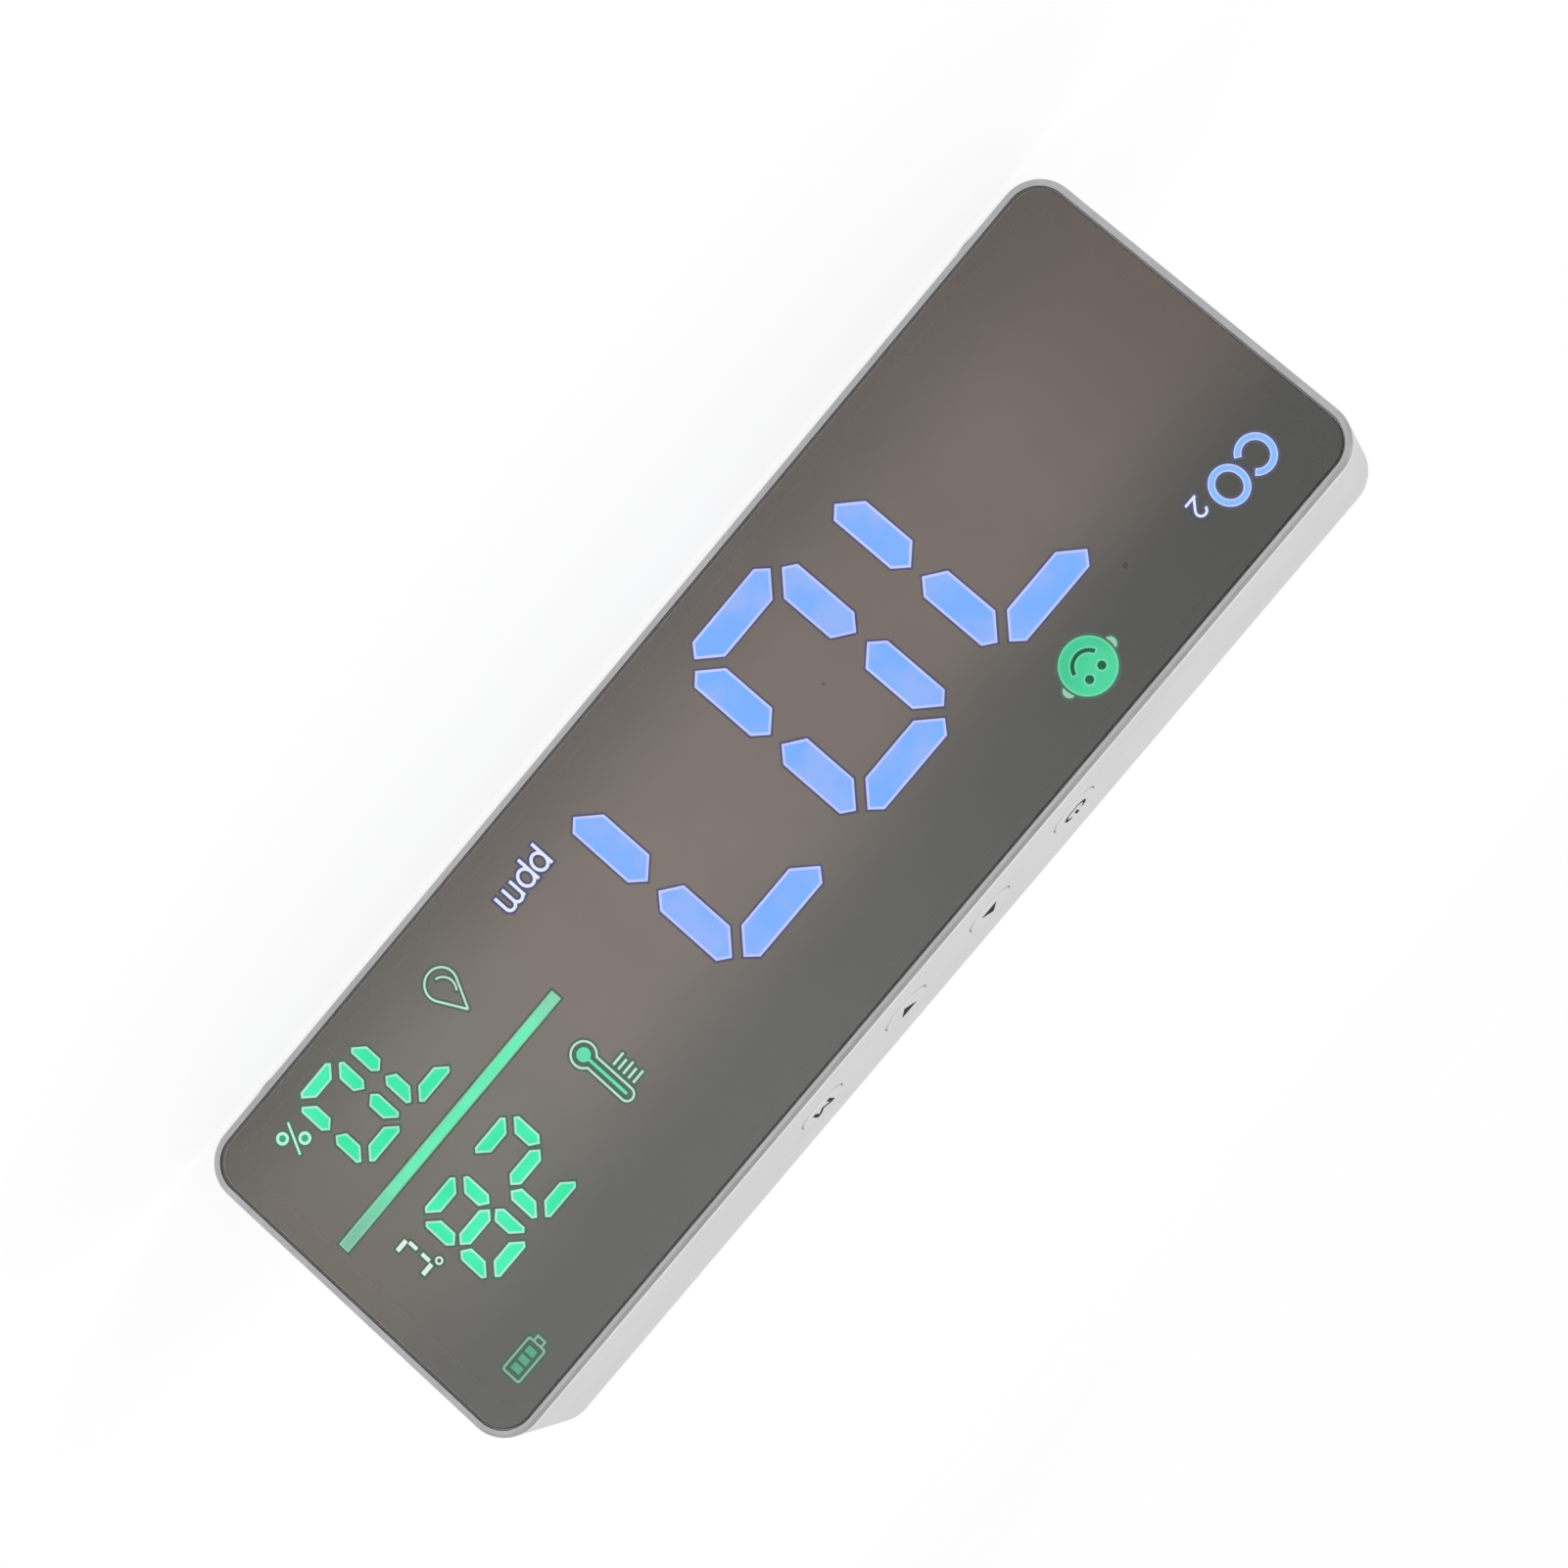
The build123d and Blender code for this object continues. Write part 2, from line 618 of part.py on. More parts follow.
def led_places():
    """Middle of every LED: two behind each large bar, one behind each small bar, some per pocket."""
    places = []
    for x, _ in CO2_DIGITS:
        for name, outline in CO2_BARS.items():
            px = sum(p[0] for p in outline) / len(outline)
            pz = sum(p[1] for p in outline) / len(outline)
            along = (3.6, 0) if name in "adg" else (0, 3.6)
            for side in (-1, 1):
                places.append((x + px + side * along[0], CO2_DIGIT_Z + pz + side * along[1]))
    for x, z, _ in CLIMATE_DIGITS:
        for outline in CLIMATE_BARS.values():
            px = sum(p[0] for p in outline) / len(outline)
            pz = sum(p[1] for p in outline) / len(outline)
            places.append((x + px, z + pz))
    for x, z, width, height in POCKETS[:-2]:
        places.append((x - width / 4, z))
        places.append((x + width / 4, z))
    for step in range(6):
        places.append((DIVIDER_X - 22.5 + 9.0 * step, DIVIDER_Z))
    return places


with BuildPart() as display_leds:
    with Locations([(x, BOX_BACK_Y - 0.3, MID_Z + z) for x, z in led_places()]):
        Box(1.6, 0.6, 0.8)
display_leds.part.label = "display_leds"
export_step(display_leds.part, "parts/display_leds.step")

with BuildPart() as driver_chips:
    with Locations([(x, LED_BOARD_BACK_Y + 0.8, MID_Z + 2) for x in (-50, -12, 24)]):
        Box(10, 1.6, 6)
driver_chips.part.label = "driver_chips"
export_step(driver_chips.part, "parts/driver_chips.step")

# ---- housing: a tube of four walls, open at the front and the back ----
FOOT_R = 4.0
FOOT_T = 1.4
FOOT_X = 84.0
FOOT_Y = 8.6
FOOT_SEAT = FOOT_T - FOOT_PROUD
SHORT_BOSS_Y = 7.0
USB_Y = 4.4
USB_Z = 24.0
USB_W = 8.94
USB_T = 3.2
VENT_W = 2.0

with BuildPart() as main_housing:
    with BuildSketch(at_y(BACK_Y)):
        with Locations((0, MID_Z)):
            RectangleRounded(BODY_W, BODY_H, BODY_R)
    extrude(amount=BACK_Y - HOUSING_FRONT_Y)
    fillet(main_housing.faces().sort_by(Axis.Y)[-1].edges(), 0.8)
    chamfer(main_housing.faces().sort_by(Axis.Y)[0].edges(), 0.3)
    with BuildSketch(at_y(BACK_Y)):
        with Locations((0, MID_Z)):
            RectangleRounded(INNER_W, INNER_H, INNER_R)
    extrude(amount=BODY_D, mode=Mode.SUBTRACT)
    with BuildSketch(at_y(COVER_FRONT_Y)):
        for x, z in COVER_SCREWS:
            if x != 0 or z == BOSS_LOW_Z:
                outward = -1 if z == BOSS_LOW_Z else 1
                with Locations((x, z)):
                    Circle(BOSS_R)
                with Locations((x, z + outward * BOSS_R / 2)):
                    Rectangle(2 * BOSS_R, BOSS_R + 0.2)
    extrude(amount=COVER_FRONT_Y - LED_BOARD_BACK_Y)
    with BuildSketch(at_y(COVER_FRONT_Y)):
        with Locations((0, BOSS_TOP_Z)):
            Circle(BOSS_R)
        with Locations((0, BOSS_TOP_Z + BOSS_R / 2)):
            Rectangle(2 * BOSS_R, BOSS_R + 0.2)
    extrude(amount=COVER_FRONT_Y - SHORT_BOSS_Y)
    with BuildSketch(at_y(COVER_FRONT_Y)):
        with Locations(COVER_SCREWS):
            Circle(SCREW_HOLE_R)
    extrude(amount=COVER_FRONT_Y - SHORT_BOSS_Y + 0.5, mode=Mode.SUBTRACT)
    with BuildSketch(Plane.XY.offset(TOP_Z - WALL + 0.1)):
        with Locations([(x, BUTTON_Y) for x in KEY_POST_X]):
            Circle(KEY_POST_R)
    extrude(amount=-(TOP_Z - WALL + 0.1 - KEY_BOARD_TOP_Z))
    with BuildSketch(Plane.XY.offset(KEY_BOARD_TOP_Z)):
        with Locations([(x, BUTTON_Y) for x in KEY_POST_X]):
            Circle(PIN_HOLE_R)
    extrude(amount=PIN_LEN, mode=Mode.SUBTRACT)
    with BuildSketch(Plane.XY.offset(TOP_Z + 1)):
        with Locations([(x, BUTTON_Y) for x in BUTTON_X]):
            Circle(BUTTON_HOLE_R)
    extrude(amount=-(WALL + 1.05), mode=Mode.SUBTRACT)
    with BuildSketch(Plane.XY.offset(FOOT_PROUD)):
        with GridLocations(2 * FOOT_X, 2 * FOOT_Y, 2, 2):
            Circle(FOOT_R + 0.05)
    extrude(amount=FOOT_SEAT, mode=Mode.SUBTRACT)
    with BuildSketch(Plane.XY.offset(FOOT_PROUD)):
        with Locations((-68, 3.0)):
            with GridLocations(5, 1, 5, 1):
                SlotOverall(10, VENT_W, rotation=90)
    extrude(amount=WALL + 0.5, mode=Mode.SUBTRACT)
    for side in (-1, 1):
        with Locations([(x, HOOK_Y, MID_Z + side * (INNER_H / 2 + 0.35)) for x in HOOK_X]):
            Box(9, 1.8, 0.9, mode=Mode.SUBTRACT)
    with BuildSketch(Plane.YZ.offset(BODY_W / 2 + 1)):
        with Locations((USB_Y, USB_Z)):
            SlotOverall(USB_W + 0.8, USB_T + 0.8, rotation=90)
    extrude(amount=-(WALL + 2), mode=Mode.SUBTRACT)
main_housing.part.label = "main_housing"
export_step(main_housing.part, "parts/main_housing.step")

with BuildPart() as rubber_feet:
    with BuildSketch(Plane.XY):
        with GridLocations(2 * FOOT_X, 2 * FOOT_Y, 2, 2):
            Circle(FOOT_R)
    extrude(amount=FOOT_T)
    chamfer(rubber_feet.faces().group_by(Axis.Z)[0].edges(), 0.3)
rubber_feet.part.label = "rubber_feet"
export_step(rubber_feet.part, "parts/rubber_feet.step")

# ---- rear cover: plate with vents, two hanging keyholes, posts and battery ribs ----
KEYHOLE_X = 50.0
KEYHOLE_Z = 44.0
KEYHOLE_HEAD_R = 4.0
KEYHOLE_NECK_R = 2.1
KEYHOLE_RISE = 8.0
POCKET_D = 4.0

SENSOR_BOARD_X = -71.5
SENSOR_BOARD_Z = 37.0
SENSOR_BOARD_W = 33.0
SENSOR_BOARD_H = 22.0
SENSOR_BOARD_T = 1.2
SENSOR_BOARD_Y = 1.5
SENSOR_POSTS = [(-85.6, 28.6), (-57.4, 45.4)]

CLIMATE_X = -82.0
CLIMATE_Z = 16.0
CLIMATE_SIDE = 12.0
CLIMATE_PAD_Y = 11.0
CLIMATE_BOARD_T = 0.8

MAIN_X = 76.5
MAIN_Z = 34.0
MAIN_W = 41.0
MAIN_H = 44.0
MAIN_FRONT_Y = 6.0
MAIN_BACK_Y = MAIN_FRONT_Y + BOARD_T
MAIN_POSTS = [(60, 16), (60, 52), (93, 16), (93, 52)]
BUZZER_X = 80.0
BUZZER_Z = 38.0

CELL_MID_X = -5.0
CELL_MID_Z = 28.0
CELL_W = 62.0
CELL_H = 36.0
CELL_T = 7.0
CELL_BACK_Y = COVER_FRONT_Y - 0.2
RIB_T = 1.2
RIB_D = 5.0

with BuildPart() as rear_cover:
    with BuildSketch(at_y(COVER_BACK_Y)):
        with Locations((0, MID_Z)):
            RectangleRounded(INNER_W - 2 * COVER_GAP, INNER_H - 2 * COVER_GAP, INNER_R - COVER_GAP)
    extrude(amount=COVER_T)
    chamfer(rear_cover.faces().sort_by(Axis.Y)[-1].edges(), 0.4)
    with BuildSketch(at_y(COVER_FRONT_Y + 0.1)):
        with Locations(SENSOR_POSTS):
            Circle(POST_R)
    extrude(amount=COVER_FRONT_Y + 0.1 - SENSOR_BOARD_Y - SENSOR_BOARD_T)
    with BuildSketch(at_y(COVER_FRONT_Y + 0.1)):
        with Locations(MAIN_POSTS):
            Circle(POST_R)
    extrude(amount=COVER_FRONT_Y + 0.1 - MAIN_BACK_Y)
    with BuildSketch(at_y(COVER_FRONT_Y + 0.1)):
        with Locations((CLIMATE_X, CLIMATE_Z)):
            Rectangle(CLIMATE_SIDE, CLIMATE_SIDE)
    extrude(amount=COVER_FRONT_Y + 0.1 - CLIMATE_PAD_Y)
    with BuildSketch(at_y(COVER_FRONT_Y + 0.1)):
        with Locations((CELL_MID_X - CELL_W / 2 - 0.9, CELL_MID_Z)):
            Rectangle(RIB_T, CELL_H - 4)
        with Locations((CELL_MID_X, CELL_MID_Z + CELL_H / 2 + 0.9)):
            Rectangle(CELL_W - 10, RIB_T)
        with Locations((CELL_MID_X - 16, CELL_MID_Z - CELL_H / 2 - 0.7)):
            Rectangle(26, 1.0)
        with Locations((CELL_MID_X + 20, CELL_MID_Z - CELL_H / 2 - 0.7)):
            Rectangle(18, 1.0)
        with Locations((CELL_MID_X + CELL_W / 2 + 2.6, CELL_MID_Z - 12)):
            Rectangle(RIB_T, 10)
    extrude(amount=RIB_D)
    with BuildSketch(at_y(COVER_FRONT_Y + 0.1)):
        for side in (-1, 1):
            with Locations((side * KEYHOLE_X, KEYHOLE_Z + KEYHOLE_RISE / 2)):
                Rectangle(12, 20)
    extrude(amount=POCKET_D)
    with BuildSketch(at_y(COVER_FRONT_Y + 0.2)):
        for side in (-1, 1):
            with Locations((side * KEYHOLE_X, KEYHOLE_Z + KEYHOLE_RISE / 2)):
                Rectangle(10, 18)
    extrude(amount=POCKET_D - 0.9, mode=Mode.SUBTRACT)
    with BuildSketch(at_y(COVER_BACK_Y + 1)):
        for side in (-1, 1):
            with Locations((side * KEYHOLE_X, KEYHOLE_Z)):
                Circle(KEYHOLE_HEAD_R)
            with Locations((side * KEYHOLE_X, KEYHOLE_Z + KEYHOLE_RISE)):
                Circle(KEYHOLE_NECK_R)
            with Locations((side * KEYHOLE_X, KEYHOLE_Z + KEYHOLE_RISE / 2)):
                Rectangle(2 * KEYHOLE_NECK_R, KEYHOLE_RISE)
    extrude(amount=COVER_T + 1.2, mode=Mode.SUBTRACT)
    with BuildSketch(at_y(COVER_BACK_Y + 1)):
        with Locations(COVER_SCREWS):
            Circle(SCREW_R + 0.25)
    extrude(amount=COVER_T + 2, mode=Mode.SUBTRACT)
    with BuildSketch(at_y(COVER_BACK_Y + 1)):
        with Locations(COVER_SCREWS):
            Circle(SCREW_SEAT_R)
    extrude(amount=SCREW_SEAT_T + 1, mode=Mode.SUBTRACT)
    with BuildSketch(at_y(COVER_BACK_Y + 1)):
        with Locations((SENSOR_BOARD_X, SENSOR_BOARD_Z)):
            with GridLocations(4, 1, 6, 1):
                SlotOverall(18, VENT_W, rotation=90)
        with Locations((-64, CLIMATE_Z)):
            with GridLocations(4, 1, 5, 1):
                SlotOverall(11, VENT_W, rotation=90)
        with Locations((BUZZER_X, BUZZER_Z)):
            Circle(0.8)
            with PolarLocations(3.2, 6):
                Circle(0.8)
    extrude(amount=COVER_T + 2, mode=Mode.SUBTRACT)
    with BuildSketch(at_y(SENSOR_BOARD_Y + SENSOR_BOARD_T)):
        with Locations(SENSOR_POSTS):
            Circle(PIN_HOLE_R)
    extrude(amount=-(PIN_LEN - SENSOR_BOARD_T + 0.4), mode=Mode.SUBTRACT)
    with BuildSketch(at_y(MAIN_BACK_Y)):
        with Locations(MAIN_POSTS):
            Circle(PIN_HOLE_R)
    extrude(amount=-(PIN_LEN - BOARD_T + 0.4), mode=Mode.SUBTRACT)
rear_cover.part.label = "rear_cover"
export_step(rear_cover.part, "parts/rear_cover.step")

SEAT_Y = COVER_BACK_Y - SCREW_SEAT_T

with BuildPart() as cover_screws:
    with BuildSketch(at_y(SEAT_Y + SCREW_HEAD_T)):
        with Locations(COVER_SCREWS):
            Circle(SCREW_HEAD_R)
    extrude(amount=SCREW_HEAD_T)
    with BuildSketch(at_y(SEAT_Y)):
        with Locations(COVER_SCREWS):
            Circle(SCREW_R)
    extrude(amount=SCREW_LEN)
    with Locations([(x, SEAT_Y + SCREW_HEAD_T - 0.4, z) for x, z in COVER_SCREWS]):
        Box(2.6, 0.8, 0.5, mode=Mode.SUBTRACT)
        Box(0.5, 0.8, 2.6, mode=Mode.SUBTRACT)
cover_screws.part.label = "cover_screws"
export_step(cover_screws.part, "parts/cover_screws.step")

with BuildPart() as dust_mesh:
    with BuildSketch(at_y(COVER_FRONT_Y)):
        with Locations((SENSOR_BOARD_X, SENSOR_BOARD_Z)):
            Rectangle(23.2, 21)
    extrude(amount=0.3)
dust_mesh.part.label = "dust_mesh"
export_step(dust_mesh.part, "parts/dust_mesh.step")

# ---- keys: each button slides down and pushes the plunger of its own switch ----
KEY_NAMES = ("power", "up", "down", "mode")

for key, x in zip(KEY_NAMES, BUTTON_X):
    with BuildPart() as button:
        with BuildSketch(Plane.XY.offset(FLANGE_LOW_Z)):
            with Locations((x, BUTTON_Y)):
                Circle(BUTTON_R)
        extrude(amount=BUTTON_TOP_Z - FLANGE_LOW_Z)
        fillet(button.faces().sort_by(Axis.Z)[-1].edges(), 0.4)
        with BuildSketch(Plane.XY.offset(FLANGE_LOW_Z)):
            with Locations((x, BUTTON_Y)):
                Circle(BUTTON_FLANGE_R)
        extrude(amount=BUTTON_FLANGE_T)
        with BuildSketch(Plane.XY.offset(STEM_LOW_Z)):
            with Locations((x, BUTTON_Y)):
                Circle(BUTTON_STEM_R)
        extrude(amount=FLANGE_LOW_Z - STEM_LOW_Z)
    button.part.label = "button_" + key
    export_step(button.part, "parts/button_" + key + ".step")

PLUNGER_LOW_Z = 58.9

for key, x in zip(KEY_NAMES, BUTTON_X):
    with BuildPart() as plunger:
        with BuildSketch(Plane.XY.offset(PLUNGER_LOW_Z)):
            with Locations((x, BUTTON_Y)):
                Circle(PLUNGER_R)
        extrude(amount=STEM_LOW_Z - PLUNGER_LOW_Z)
    plunger.part.label = "plunger_" + key
    export_step(plunger.part, "parts/plunger_" + key + ".step")

KEY_COVER_T = 0.3

with BuildPart() as key_switches:
    with BuildSketch(Plane.XY.offset(KEY_BOARD_TOP_Z)):
        with Locations([(x, BUTTON_Y) for x in BUTTON_X]):
            Rectangle(SWITCH_SIDE, SWITCH_SIDE)
    extrude(amount=SWITCH_H - KEY_COVER_T)
    with BuildSketch(Plane.XY.offset(SWITCH_TOP_Z - 2.0)):
        with Locations([(x, BUTTON_Y) for x in BUTTON_X]):
            Circle(PLUNGER_HOLE_R)
    extrude(amount=2.0, mode=Mode.SUBTRACT)
key_switches.part.label = "key_switches"
export_step(key_switches.part, "parts/key_switches.step")

with BuildPart() as switch_plates:
    with BuildSketch(Plane.XY.offset(SWITCH_TOP_Z - KEY_COVER_T)):
        with Locations([(x, BUTTON_Y) for x in BUTTON_X]):
            Rectangle(SWITCH_SIDE, SWITCH_SIDE)
            Circle(PLUNGER_HOLE_R, mode=Mode.SUBTRACT)
    extrude(amount=KEY_COVER_T)
switch_plates.part.label = "switch_plates"
export_step(switch_plates.part, "parts/switch_plates.step")

KEY_BOARD_X = 1.0
KEY_BOARD_W = 84.6
KEY_BOARD_D = 10.8
KEY_BOARD_Y = 0.3

with BuildPart() as key_board:
    with BuildSketch(Plane.XY.offset(KEY_BOARD_LOW_Z)):
        with Locations((KEY_BOARD_X, KEY_BOARD_Y)):
            Rectangle(KEY_BOARD_W, KEY_BOARD_D)
        with Locations([(x, BUTTON_Y) for x in KEY_POST_X]):
            Circle(PIN_R + 0.15, mode=Mode.SUBTRACT)
    extrude(amount=BOARD_T)
key_board.part.label = "key_board"
export_step(key_board.part, "parts/key_board.step")

# ---- small screws of the four boards ----
with BuildPart() as board_screws:
    with BuildSketch(at_y(LED_BOARD_BACK_Y + PIN_HEAD_T)):
        with Locations([(x, MID_Z + z) for x, z in BOX_SCREWS]):
            Circle(PIN_HEAD_R)
    extrude(amount=PIN_HEAD_T)
    with BuildSketch(at_y(LED_BOARD_BACK_Y)):
        with Locations([(x, MID_Z + z) for x, z in BOX_SCREWS]):
            Circle(PIN_R)
    extrude(amount=PIN_LEN)
    with BuildSketch(at_y(MAIN_FRONT_Y)):
        with Locations(MAIN_POSTS):
            Circle(PIN_HEAD_R)
    extrude(amount=PIN_HEAD_T)
    with BuildSketch(at_y(MAIN_FRONT_Y)):
        with Locations(MAIN_POSTS):
            Circle(PIN_R)
    extrude(amount=-PIN_LEN)
    with BuildSketch(at_y(SENSOR_BOARD_Y)):
        with Locations(SENSOR_POSTS):
            Circle(PIN_HEAD_R)
    extrude(amount=PIN_HEAD_T)
    with BuildSketch(at_y(SENSOR_BOARD_Y)):
        with Locations(SENSOR_POSTS):
            Circle(PIN_R)
    extrude(amount=-PIN_LEN)
    with BuildSketch(Plane.XY.offset(KEY_BOARD_LOW_Z - PIN_HEAD_T)):
        with Locations([(x, BUTTON_Y) for x in KEY_POST_X]):
            Circle(PIN_HEAD_R)
    extrude(amount=PIN_HEAD_T)
    with BuildSketch(Plane.XY.offset(KEY_BOARD_LOW_Z)):
        with Locations([(x, BUTTON_Y) for x in KEY_POST_X]):
            Circle(PIN_R)
    extrude(amount=PIN_LEN)
board_screws.part.label = "board_screws"
export_step(board_screws.part, "parts/board_screws.step")

# ---- gas sensor module and climate sensor ----
SENSOR_CELL_W = 22.0
SENSOR_CELL_H = 17.0
SENSOR_CELL_T = 9.0
FILTER_T = 0.4

with BuildPart() as sensor_board:
    with BuildSketch(at_y(SENSOR_BOARD_Y + SENSOR_BOARD_T)):
        with Locations((SENSOR_BOARD_X, SENSOR_BOARD_Z)):
            Rectangle(SENSOR_BOARD_W, SENSOR_BOARD_H)
        with Locations(SENSOR_POSTS):
            Circle(PIN_R + 0.15, mode=Mode.SUBTRACT)
    extrude(amount=SENSOR_BOARD_T)
sensor_board.part.label = "sensor_board"
export_step(sensor_board.part, "parts/sensor_board.step")

SENSOR_CELL_BACK_Y = SENSOR_BOARD_Y + SENSOR_BOARD_T + SENSOR_CELL_T

with BuildPart() as sensor_cell:
    with BuildSketch(at_y(SENSOR_CELL_BACK_Y)):
        with Locations((SENSOR_BOARD_X, SENSOR_BOARD_Z)):
            RectangleRounded(SENSOR_CELL_W, SENSOR_CELL_H, 1.5)
    extrude(amount=SENSOR_CELL_T)
    fillet(sensor_cell.faces().sort_by(Axis.Y)[-1].edges(), 0.8)
    with BuildSketch(at_y(SENSOR_CELL_BACK_Y)):
        with Locations((SENSOR_BOARD_X, SENSOR_BOARD_Z)):
            Rectangle(14, 8)
    extrude(amount=FILTER_T, mode=Mode.SUBTRACT)
sensor_cell.part.label = "sensor_cell"
export_step(sensor_cell.part, "parts/sensor_cell.step")

with BuildPart() as sensor_filter:
    with BuildSketch(at_y(SENSOR_CELL_BACK_Y)):
        with Locations((SENSOR_BOARD_X, SENSOR_BOARD_Z)):
            Rectangle(14, 8)
    extrude(amount=FILTER_T)
sensor_filter.part.label = "sensor_filter"
export_step(sensor_filter.part, "parts/sensor_filter.step")

with BuildPart() as climate_board:
    with BuildSketch(at_y(CLIMATE_PAD_Y)):
        with Locations((CLIMATE_X, CLIMATE_Z)):
            Rectangle(CLIMATE_SIDE, CLIMATE_SIDE)
    extrude(amount=CLIMATE_BOARD_T)
climate_board.part.label = "climate_board"
export_step(climate_board.part, "parts/climate_board.step")

with BuildPart() as climate_sensor:
    with BuildSketch(at_y(CLIMATE_PAD_Y - CLIMATE_BOARD_T)):
        with Locations((CLIMATE_X - 2, CLIMATE_Z)):
            Rectangle(3, 3)
    extrude(amount=1.0)
climate_sensor.part.label = "climate_sensor"
export_step(climate_sensor.part, "parts/climate_sensor.step")

# ---- battery ----
with BuildPart() as battery_cell:
    with BuildSketch(at_y(CELL_BACK_Y)):
        with Locations((CELL_MID_X, CELL_MID_Z)):
            Rectangle(CELL_W, CELL_H)
    extrude(amount=CELL_T)
    fillet(battery_cell.edges().filter_by(Axis.Z), 1.5)
battery_cell.part.label = "battery_cell"
export_step(battery_cell.part, "parts/battery_cell.step")

with BuildPart() as battery_tape:
    with BuildSketch(at_y(COVER_FRONT_Y)):
        with Locations((CELL_MID_X, CELL_MID_Z)):
            Rectangle(50, 26)
    extrude(amount=COVER_FRONT_Y - CELL_BACK_Y)
battery_tape.part.label = "battery_tape"
export_step(battery_tape.part, "parts/battery_tape.step")

CELL_END_X = CELL_MID_X + CELL_W / 2
GUARD_T = 1.2
GUARD_Y = 9.3

with BuildPart() as battery_guard:
    with Locations((CELL_END_X + GUARD_T / 2, GUARD_Y, CELL_MID_Z)):
        Box(GUARD_T, 3.6, 28)
battery_guard.part.label = "battery_guard"
export_step(battery_guard.part, "parts/battery_guard.step")

# ---- main board and what is on it ----
with BuildPart() as main_board:
    with BuildSketch(at_y(MAIN_BACK_Y)):
        with Locations((MAIN_X, MAIN_Z)):
            Rectangle(MAIN_W, MAIN_H)
        with Locations(MAIN_POSTS):
            Circle(PIN_R + 0.15, mode=Mode.SUBTRACT)
    extrude(amount=BOARD_T)
main_board.part.label = "main_board"
export_step(main_board.part, "parts/main_board.step")

with BuildPart() as main_chips:
    with Locations((70, MAIN_FRONT_Y - 0.5, 20)):
        Box(7, 1.0, 7)
    with Locations((81, MAIN_FRONT_Y - 0.5, 19)):
        Box(5, 1.0, 5)
    with Locations((70, MAIN_FRONT_Y - 0.5, 33)):
        Box(4, 1.0, 5)
main_chips.part.label = "main_chips"
export_step(main_chips.part, "parts/main_chips.step")

with BuildPart() as power_coil:
    with BuildSketch(at_y(MAIN_FRONT_Y)):
        with Locations((80, 30)):
            RectangleRounded(5, 5, 1)
    extrude(amount=3.0)
power_coil.part.label = "power_coil"
export_step(power_coil.part, "parts/power_coil.step")

with BuildPart() as buzzer:
    with BuildSketch(at_y(MAIN_BACK_Y + 4.4)):
        with Locations((BUZZER_X, BUZZER_Z)):
            Circle(6.0)
    extrude(amount=4.4)
    with BuildSketch(at_y(MAIN_BACK_Y + 4.4)):
        with Locations((BUZZER_X, BUZZER_Z)):
            Circle(1.0)
    extrude(amount=1.0, mode=Mode.SUBTRACT)
buzzer.part.label = "buzzer"
export_step(buzzer.part, "parts/buzzer.step")

USB_LEN = 7.35
USB_BACK_X = 91.2

with BuildPart() as usb_shell:
    with BuildSketch(Plane.YZ.offset(USB_BACK_X)):
        with Locations((USB_Y, USB_Z)):
            SlotOverall(USB_W, USB_T, rotation=90)
    extrude(amount=USB_LEN)
    with BuildSketch(Plane.YZ.offset(USB_BACK_X + 0.4)):
        with Locations((USB_Y, USB_Z)):
            SlotOverall(USB_W - 0.6, USB_T - 0.6, rotation=90)
    extrude(amount=USB_LEN, mode=Mode.SUBTRACT)
usb_shell.part.label = "usb_shell"
export_step(usb_shell.part, "parts/usb_shell.step")

with BuildPart() as usb_tongue:
    with BuildSketch(Plane.YZ.offset(USB_BACK_X + 0.4)):
        with Locations((USB_Y, USB_Z)):
            SlotOverall(USB_W - 0.8, USB_T - 0.8, rotation=90)
    extrude(amount=1.2)
    with BuildSketch(Plane.YZ.offset(USB_BACK_X + 0.4)):
        with Locations((USB_Y, USB_Z)):
            Rectangle(0.7, 6.7)
    extrude(amount=USB_LEN - 1.2)
usb_tongue.part.label = "usb_tongue"
export_step(usb_tongue.part, "parts/usb_tongue.step")

# ---- connectors and internal cables ----
RIBBON_X = 80.0
RIBBON_W = 12.0
RIBBON_T = 0.3
SOCKET_TOP_Z = 44.0
DISPLAY_RIBBON_Y = LED_BOARD_BACK_Y + 1.0
MAIN_RIBBON_Y = MAIN_FRONT_Y - 1.0
LEAD_R = 0.65
LEAD_Z = (36.0, 40.0)
LEAD_Y = 3.3

with BuildPart() as cable_sockets:
    with Locations((RIBBON_X, DISPLAY_RIBBON_Y, SOCKET_TOP_Z - 2)):
        Box(15, 2, 4)
    with Locations((RIBBON_X, MAIN_RIBBON_Y, SOCKET_TOP_Z - 2)):
        Box(15, 2, 4)
    with Locations((61, MAIN_FRONT_Y - 2.7, 38)):
        Box(6, 5.4, 9)
    with Locations((67, MAIN_FRONT_Y - 1.25, 45.5)):
        Box(5, 2.5, 3.6)
    with Locations((60, MAIN_FRONT_Y - 1.25, 29.5)):
        Box(4, 2.5, 6.5)
    with Locations((-58.5, SENSOR_BOARD_Y - 1.0, 29.5)):
        Box(4, 2.0, 6.5)
    with Locations((31, -3.6, KEY_BOARD_LOW_Z - 1.25)):
        Box(6, 3, 2.5)
cable_sockets.part.label = "cable_sockets"
export_step(cable_sockets.part, "parts/cable_sockets.step")

LOOP_R = (MAIN_RIBBON_Y - DISPLAY_RIBBON_Y) / 2
LOOP_Y = (MAIN_RIBBON_Y + DISPLAY_RIBBON_Y) / 2
LOOP_Z = SOCKET_TOP_Z + 3.0

